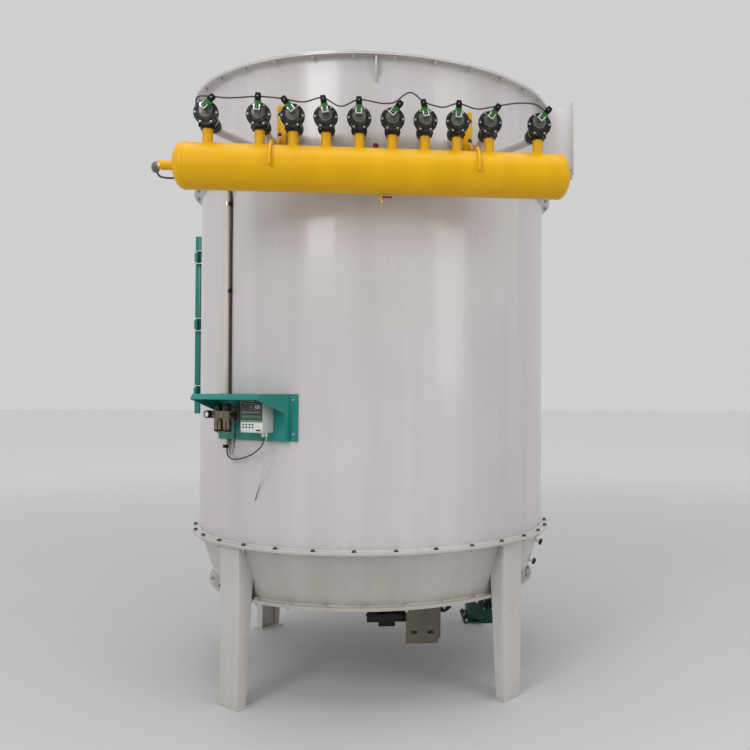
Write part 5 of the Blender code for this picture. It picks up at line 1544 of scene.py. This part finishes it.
@dataclass
class UnderFloor:
    """The drive bracket, the geared motor, the airlock and the clean-out hatch."""

    floor: float = 0.548
    plate: tuple[float, float] = (0.19, 0.392)
    plate_face: float = -0.42
    plate_foot: float = 0.207
    motor_y: float = -0.32
    motor_z: float = 0.432
    motor_radius: float = 0.088
    motor_rear: float = -0.05
    motor_end: float = 0.225
    fins: int = 36
    airlock: tuple[float, float] = (0.665, -0.3)
    airlock_half: float = 0.135
    airlock_foot: float = 0.318
    hatch_sweep: tuple[float, float] = (84.0, 106.0)

    def build(self, bolts: Fasteners) -> None:
        """Builds what hangs under the floor, and the hatch."""
        # The drive bracket takes the darkened enamel: painted shade from the floor above it.
        refined("drive_bracket", "bracket_painted_shade", 0.0022)
        x0, x1 = self.plate
        height = self.plate_foot + 0.0635
        spots = [(Vector((x, self.plate_face - 0.0004, height)), Facing.FRONT)
            for x in (x0 + 0.04, x1 - 0.048)]
        bolts.piece("bracket_slot_bolts", spots, 0.016, "bolt_zinc", 0.006, 31)
        self._motor(bolts)
        self._airlock(bolts)
        self._hatch()

    def _motor(self, bolts: Fasteners) -> None:
        """The finned motor with its fan cowl, terminal box and gearbox."""
        x0, x1 = self.plate
        y, z = self.motor_y, self.motor_z
        r, rear, end = self.motor_radius, self.motor_rear, self.motor_end
        back, top = self.plate_face + 0.0063, self.floor - GAP - 0.018
        motor = Shape("motor_casting")
        motor.block((x0 + 0.02, back, z - 0.087), (x1 - 0.02, back + 0.165, top), bevel=0.008)
        at = moved(0, y, z) @ turned_by(90, "Y")
        cowl = [(0, rear), (r - 0.03, rear), (r - 0.014, rear + 0.0015), (r - 0.005, rear + 0.01),
            (r - 0.004, rear + 0.014), (r - 0.004, rear + 0.07), (r - 0.006, rear + 0.072),
            (0, rear + 0.072)]
        barrel = [(0, rear + 0.068), (r - 0.012, rear + 0.068), (r - 0.012, end - 0.052),
            (r - 0.02, end - 0.05), (r - 0.02, end), (0, end)]
        shield = [(0, end - 0.066), (r, end - 0.066), (r, end - 0.054), (r - 0.004, end - 0.05),
            (0, end - 0.05)]
        for profile in (cowl, barrel, shield):
            motor.turned(profile, None, at, 48)
        for turn in turns(self.fins):
            motor.block((-0.0016, r - 0.016, rear + 0.074), (0.0016, r - 0.0005, end - 0.062), None,
                at @ turn, 0.0007)
        for ring in range(3):
            for turn in turns(8 + 4 * ring):
                motor.block((-0.0035, 0.016 + 0.016 * ring, rear - 0.0004),
                    (0.0035, 0.026 + 0.016 * ring, rear + 0.001), "knob_black", at @ turn)
        motor.block((x0 + 0.022, back, self.plate_foot + 0.034), (x1 - 0.03, back + 0.012, z - 0.08),
            bevel=0.002)
        motor.block((rear + 0.012, y - 0.052, z - r - 0.024), (end - 0.03, y + 0.052, z - r + 0.024),
            bevel=0.005)
        cover = [(0, x1 - 0.027), (0.07, x1 - 0.027), (0.072, x1 + 0.03), (0.066, x1 + 0.044),
            (0.05, x1 + 0.066), (0.044, x1 + 0.07), (0, x1 + 0.07)]
        motor.turned(cover, None, at, 40)
        left, right = rear + 0.08, rear + 0.18
        front, behind = y - 0.045, y + 0.045
        low, high = z - r - 0.052, z - r + 0.016
        motor.block((left + 0.003, front + 0.003, low + 0.012), (right - 0.003, behind - 0.003, high),
            bevel=0.004)
        motor.block((left, front, low), (right, behind, low + 0.014), bevel=0.006)
        middle = (x0 + x1) / 2
        motor.rod((middle, y, top - 0.01), (middle, y, self.floor - GAP), 0.02, "zinc", 28, 0.0005)
        motor.piece("geared_motor", "gearmotor")
        inset = 0.01
        spots = [(Vector((x, side, low)), Facing.DOWN) for x in (left + inset, right - inset)
            for side in (front + inset, behind - inset)]
        bolts.piece("terminal_screws", spots, 0.007, "zinc", PLAIN_HEAD, 33)

    def _airlock(self, bolts: Fasteners) -> None:
        """The drum between its bolted flanges, with a bearing cap on its front."""
        cx, cy = self.airlock
        top, foot = self.floor - GAP, self.airlock_foot
        refined("rotary_airlock", "airlock_casting", 0.0018)
        places = [(-1, -1), (0, -1), (1, -1), (-1, 1), (0, 1), (1, 1), (-1, 0), (1, 0)]
        sides = ((Facing.DOWN, top - 0.0122), (Facing.UP, foot + 0.0122))
        spots = [(Vector((cx + 0.12 * x, cy + 0.12 * y, height)), look)
            for look, height in sides for x, y in places]
        bolts.piece("airlock_bolts", spots, 0.015, "zinc", 0.005, 35)
        middle = (top + foot) / 2
        face = cy - self.airlock_half - 0.022
        cap = Shape("airlock_casting")
        cap.rod((cx, face + 0.002, middle), (cx, face - 0.004, middle), 0.027, "steel_dark", 28, 0.0015)
        cap.piece("bearing_cap")
        centre = Vector((cx, face - 0.0002, middle))
        spots = [(centre + polar(45 + 90 * k, 0.0305).xzy.reflect((0, 1, 0)), Facing.FRONT)
            for k in range(4)]
        bolts.piece("bearing_screws", spots, 0.007, "zinc", PLAIN_HEAD, 36)

    def _hatch(self) -> None:
        """The clean-out hatch with a seal, hinge straps and two star knobs."""
        shell = Vessel()
        low, high = shell.floor + shell.thickness + 2 * GAP, shell.seam - GAP / 2
        slope = (shell.radius - shell.hopper_foot) / (high - low)
        foot, head = low + 0.024, high - 0.06
        start, end = self.hatch_sweep
        hatch = Shape("hopper_enamel")

        def wall(height: float) -> float:
            """The hopper's outer radius at a height."""
            return shell.hopper_foot + slope * (height - low)

        def cover(z0: float, z1: float, near: float, far: float, finish: str,
                sweep: tuple[float, float], bevel: float) -> None:
            """A curved plate on the hopper's wall between two heights."""
            outline = [(wall(z0) + near, z0), (wall(z0) + far, z0), (wall(z1) + far, z1),
                (wall(z1) + near, z1)]
            hatch.turned(outline, finish, Matrix(), shell.facets, sweep, bevel)

        cover(foot + 0.002, head - 0.002, 0.0009, 0.005, "gasket_rubber", (start + 0.2, end - 0.2), 0.0012)
        cover(foot, head, 0.004, 0.014, "hopper_enamel", (start, end), 0.0012)
        here = station(87)
        outwards = (here.to_3x3() @ Vector((0, -1, -slope))).normalized()
        reaches = [(0.0165 + 0.0052 * cos(3 * turn), turn)
            for turn in [2 * pi * step / 48 for step in range(48)]]
        lobes = [(reach * cos(turn), reach * sin(turn)) for reach, turn in reaches]
        for height in (low + 0.056, low + 0.179):
            at = along(outwards, here @ Vector((0, -wall(height) - 0.01, height)))
            hatch.turned([(0, 0), (0.0155, 0), (0.0155, 0.006), (0.012, 0.008), (0.009, 0.012),
                (0.009, 0.036), (0, 0.036)], "zinc", at, 24)
            hatch.prism(lobes, 0.034, 0.051, "knob_black", at, 0.003)
            hatch.turned([(0, 0.05), (0.008, 0.05), (0.007, 0.054), (0, 0.055)], "knob_black", at, 20)
        for height in (low + 0.06, low + 0.175):
            cover(height - 0.014, height + 0.014, 0.0135, 0.0175, "zinc", (99.0, end - 0.2), 0.0006)
        hatch.piece("clean_out_hatch", "hopper_hatch")


@dataclass
class Inside:
    """The tube plate with its filter bags over their wire cages."""

    sheet: float = 2.85
    thickness: float = 0.006
    plate: float = 0.8997
    rows: tuple[float, ...] = (0.079, 0.236, 0.391, 0.548, 0.7065)
    field: float = 0.8
    pitch: float = 0.157
    radius: float = 0.06
    length: float = 1.44
    wires: int = 12

    def places(self) -> list[Point]:
        """Every bag's place."""
        found = []
        for row in [-x for x in reversed(self.rows)] + list(self.rows):
            half = sqrt(self.field ** 2 - row ** 2)
            count = int(2 * half / self.pitch) + 1
            found += [(row, (i - (count - 1) / 2) * self.pitch) for i in range(count)]
        return found

    def build(self) -> None:
        """Builds the plate and the bags, each drawn in a little between its cage's wires."""
        low = self.sheet - self.thickness / 2
        top, foot = low + self.thickness, low - self.length
        bags = Shape("body_enamel")
        bags.turned([(0, low), (self.plate, low), (self.plate, top), (0, top)], facets=96)
        count = 2 * self.wires
        levels = ((low + 0.004, 0.98, 0.0), (low - 0.03, 0.98, 0.0), (low - 0.034, 1.0, 0.0),
            (low - 0.1, 1.0, 0.05), (foot + 0.06, 1.0, 0.05), (foot + 0.012, 0.99, 0.02),
            (foot + 0.001, 0.93, 0.0))
        for x, y in self.places():
            rings = []
            for height, scale, pull in levels:
                ring = [polar(360 * k / count, self.radius * scale * (1 - (pull if k % 2 else 0)), height)
                    for k in range(count)]
                rings.append([point + Vector((x, y, 0)) for point in ring])
            bags.skin(rings, False, "bag_felt")
        bags.piece("bags_on_plate", "filter_bags")


@dataclass
class Cords:
    """The cables and hoses, each one smooth curve at its real length."""

    conduit_azimuth: float = -47.6
    conduit_out: float = 1.063
    conduit_foot: float = 1.37
    conduit_top: float = 2.78
    hose_azimuth: float = -46.67
    hose_out: float = 1.0568
    shelf_azimuth: float = -37.0
    forward: float = 1.281
    valve_height: float = 2.972
    elbow: Place = (-1.0003, -1.281, 2.733)
    last_valve: float = 0.788
    last_turn: float = 42.0

    def _beside_shelf(self, points: Sequence[Place]) -> list[Vector]:
        """Points given as (along the shell, out from the axis, height) at the shelf."""
        return [station(self.shelf_azimuth) @ Vector((x, -out, z)) for x, out, z in points]

    def _cord(self, name: str, node: str, route: Sequence[Place], diameter: float, finish: str) -> None:
        """One cord on its route, which leaves both its ends straight.

        Args:
            name: The piece's name.
            node: The CAD node that it replaces.
            route: The points of its route about the collector's axis.
            diameter: Its diameter.
            finish: Its finish.
        """
        points = smooth_route(route, 2.5 * diameter, 240)
        lead = points[0] + diameter * (Vector(route[1]) - points[0]).normalized()
        tail = points[-1] + diameter * (Vector(route[-2]) - points[-1]).normalized()
        points = [point + AXIS for point in [points[0], lead] + points[1:-1] + [tail, points[-1]]]
        data = bpy.data.curves.new(name, "CURVE")
        data.dimensions = "3D"
        data.bevel_depth = diameter / 2
        data.bevel_resolution = 4
        data.use_fill_caps = True
        spline = data.splines.new("POLY")
        spline.points.add(len(points) - 1)
        for made, point in zip(spline.points, points):
            made.co = (*point, 1)
        made = linked(name, data, (finish,))
        length = sum((there - here).length for here, there in zip(points, points[1:]))
        settle(made, Body.COLLECTOR, (node,))
        LOG.info("%s is %.3f m long", name, length)

    def build(self) -> None:
        """Lays the valve cable, the air hose, the control cable and the supply lead."""
        self._valve_cable()
        self._air_hose()
        foot = polar(self.conduit_azimuth, self.conduit_out, self.conduit_foot - GAP)
        route = self._beside_shelf([
            (0.128, 1.1053, 1.4397), (0.127, 1.105, 1.415), (0.102, 1.1, 1.385), (0.03, 1.09, 1.345),
            (-0.06, 1.08, 1.32), (-0.13, 1.064, 1.313), (-0.178, 1.05, 1.324),
        ]) + [foot - Vector((0, 0, 0.022)), foot]
        self._cord("control_wiring", "control_cable", route, 0.007, "cable_grey")
        route = self._beside_shelf([
            (0.15, 1.1053, 1.4397), (0.149, 1.105, 1.41), (0.141, 1.1, 1.36), (0.12, 1.086, 1.3),
            (0.09, 1.072, 1.24), (0.06, 1.062, 1.18), (0.035, 1.056, 1.13), (0.022, 1.054, 1.106),
        ])
        self._cord("supply_wiring", "supply_lead", route, 0.0036, "lead_sheath")

    def _valve_cable(self) -> None:
        """The cable from the conduit's mouth, over the shell's edge and along the valves."""
        top = polar(self.conduit_azimuth, self.conduit_out, self.conduit_top + GAP)
        row = -self.forward - 0.084
        rise = ((-0.0003, -0.0004, 0.013), (-0.0035, -0.0049, 0.029), (-0.0117, -0.0162, 0.04),
            (-0.026, -0.036, 0.045))
        route = [top] + [top + Vector(step) for step in rise]
        route += [(-0.84, -0.79, 2.838), (-0.858, -0.88, 2.9), (-0.865, -1.02, 2.975),
            (-0.856, -1.19, 3.025), (-0.83, -1.32, 3.043)]
        route += [(x, row, z) for x, z in ((-0.77, 3.037), (-0.677, 3.032), (-0.548, 3.0435),
            (-0.44, 3.039), (-0.338, 3.026), (-0.25, 3.0495), (-0.165, 3.012), (-0.081, 3.047),
            (0.025, 3.034), (0.08, 3.038), (0.104, 3.052), (0.13, 3.076), (0.161, 3.091), (0.192, 3.076),
            (0.216, 3.053), (0.24, 3.042), (0.318, 3.026), (0.389, 3.047), (0.48, 3.024), (0.58, 3.043),
            (0.68, 3.06), (0.755, 3.058), (0.79, 3.04))]
        tilt = radians(self.last_turn)
        side, up = Vector((cos(tilt), 0, -sin(tilt))), Vector((sin(tilt), 0, cos(tilt)))
        last = Vector((self.last_valve, row, self.valve_height)) + 0.052 * up - (0.012 + GAP) * side
        self._cord("valve_wiring", "valve_cable", route + [last], 0.007, "cable_grey")

    def _air_hose(self) -> None:
        """The hose from the header's elbow down the shell and up to the filter unit."""
        start = Vector(self.elbow) + Vector(ELBOW) + GAP * ELBOW_AHEAD
        behind = polar(self.hose_azimuth, self.hose_out)
        route = [start, start + 0.03 * ELBOW_AHEAD, start + Vector((0.004, 0.072, -0.014)),
            (-0.995, -1.05, 2.73), (-0.912, -0.925, 2.775), (-0.838, -0.822, 2.797), (-0.79, -0.754, 2.772)]
        route += [(behind.x, behind.y, z) for z in (2.705, 2.45, 2.1, 1.75, 1.45)]
        route += self._beside_shelf([
            (-0.172, 1.049, 1.388), (-0.148, 1.072, 1.355), (-0.105, 1.105, 1.345), (-0.06, 1.135, 1.357),
            (-0.034, 1.1493, 1.395), (-0.028, 1.1493, 1.455), (-0.028, 1.1493, 1.5247),
        ])
        self._cord("air_line", "air_hose", route, 0.0096, "air_line")


@dataclass
class Studio:
    """The floor, the lights and the camera at the photograph's place."""

    camera_place: Place = (0.0, -5.2745, 1.6885)
    focal: float = 830.0
    centre: tuple[float, float] = (457.49, 379.09)
    picture: int = 750
    sensor: float = 36.0
    turn: Place = (-0.0997, 0.0123, -0.0043)
    side: float = 60.0
    # Floor tones: the darker near tones are painted shade round the collector, the far one a pale backdrop.
    near: Colour = (0.6, 0.6, 0.6)
    near_pale: Colour = (0.63, 0.63, 0.63)
    far: Colour = (0.92, 0.92, 0.92)
    sky: float = 0.5
    strength: float = 1.3

    def build(self) -> None:
        """Builds the studio."""
        self._camera()
        self._floor()
        self._lights()

    def _camera(self) -> None:
        """The camera with its turn and its shift."""
        data = bpy.data.cameras.new("camera")
        data.sensor_width = self.sensor
        data.lens = self.sensor * self.focal / self.picture
        data.shift_x = (self.picture / 2 - self.centre[0]) / self.picture
        data.shift_y = (self.centre[1] - self.picture / 2) / self.picture
        data.clip_end = 200.0
        made = linked("camera", data)
        place = Matrix.Translation(AXIS + Vector(self.camera_place))
        for turn, axis in zip(self.turn, "ZXY"):
            place = place @ Matrix.Rotation(turn, 4, axis)
        made.matrix_world = place @ turned_by(90, "X")
        bpy.context.scene.camera = made

    def _floor(self) -> None:
        """A pale floor with painted shade, darker near the collector and palest far away."""
        desk = Desk("floor_painted_shade")
        tone = desk.noise(0.8, 2.0)
        near = desk.mix(tone, self.near, self.near_pale)
        reach = desk.node("ShaderNodeVectorMath", {"operation": "LENGTH"}, {0: desk.place}, "Value")
        # Painted shade: the floor is darker within a few metres of the collector and pales towards the far
        # tone.
        colour = desk.mix(desk.band(reach, 2.5, 14.0), near, self.far)
        desk.set(Base_Color=colour, Roughness=desk.band(tone, 0.3, 0.7, 0.6, 0.7))
        data = bpy.data.meshes.new("floor")
        side = self.side
        data.from_pydata([(-side, -side, 0), (side, -side, 0), (side, side, 0), (-side, side, 0)], [],
            [(0, 1, 2, 3)])
        data.materials.append(desk.material)
        linked("floor", data)

    def _lamp(self, name: str, place: Place, target: Place, size: Point, power: float) -> None:
        """One rectangular soft light."""
        data = bpy.data.lights.new(name, "AREA")
        data.shape = "RECTANGLE"
        data.size, data.size_y = size
        data.energy = power
        made = linked(name, data)
        made.location = AXIS + Vector(place)
        made.rotation_euler = (Vector(target) - Vector(place)).to_track_quat("-Z", "Y").to_euler()

    def _lights(self) -> None:
        """An even grey sky with three soft lights."""
        world = bpy.data.worlds.new("sky")
        world.use_nodes = True
        sky = world.node_tree.nodes["Background"].inputs
        sky["Color"].default_value = (self.sky, self.sky, self.sky, 1.0)
        sky["Strength"].default_value = self.strength
        scene = bpy.context.scene
        scene.world = world
        self._lamp("key", (-4.0, -6.5, 5.4), (0, 0, 2.0), (2.4, 4.0), 150.0)
        self._lamp("fill", (5.0, -5.0, 3.6), (0, 0, 1.8), (2.4, 4.0), 60.0)
        self._lamp("top", (0.0, -1.5, 7.5), (0, 0, 2.2), (6.0, 5.0), 170.0)
        scene.view_settings.view_transform = "Standard"
        scene.view_settings.gamma = 0.92


def main() -> None:
    """Builds every sub-assembly in order, and reports each piece."""
    logging.basicConfig(level=logging.INFO, format="%(message)s")
    Studio().build()
    Cords().build()
    bolts = Fasteners()
    Vessel().build(bolts)
    AccessDoor().build()
    header = PulseHeader()
    header.build(bolts)
    coil_turns = (45, 5, -40, -10, 0, 40, -14, 0, 35, 42)
    for number, (x, turn) in enumerate(zip(header.valve_places(), coil_turns), 1):
        PulseValve(f"valve_{number}", x, turn).build(bolts)
    RowPipes().build(header.valve_places())
    Supports().build()
    Ducts().build()
    Instruments().build(bolts)
    Conduit().build()
    UnderFloor().build(bolts)
    Inside().build()


if __name__ == "__main__":
    main()
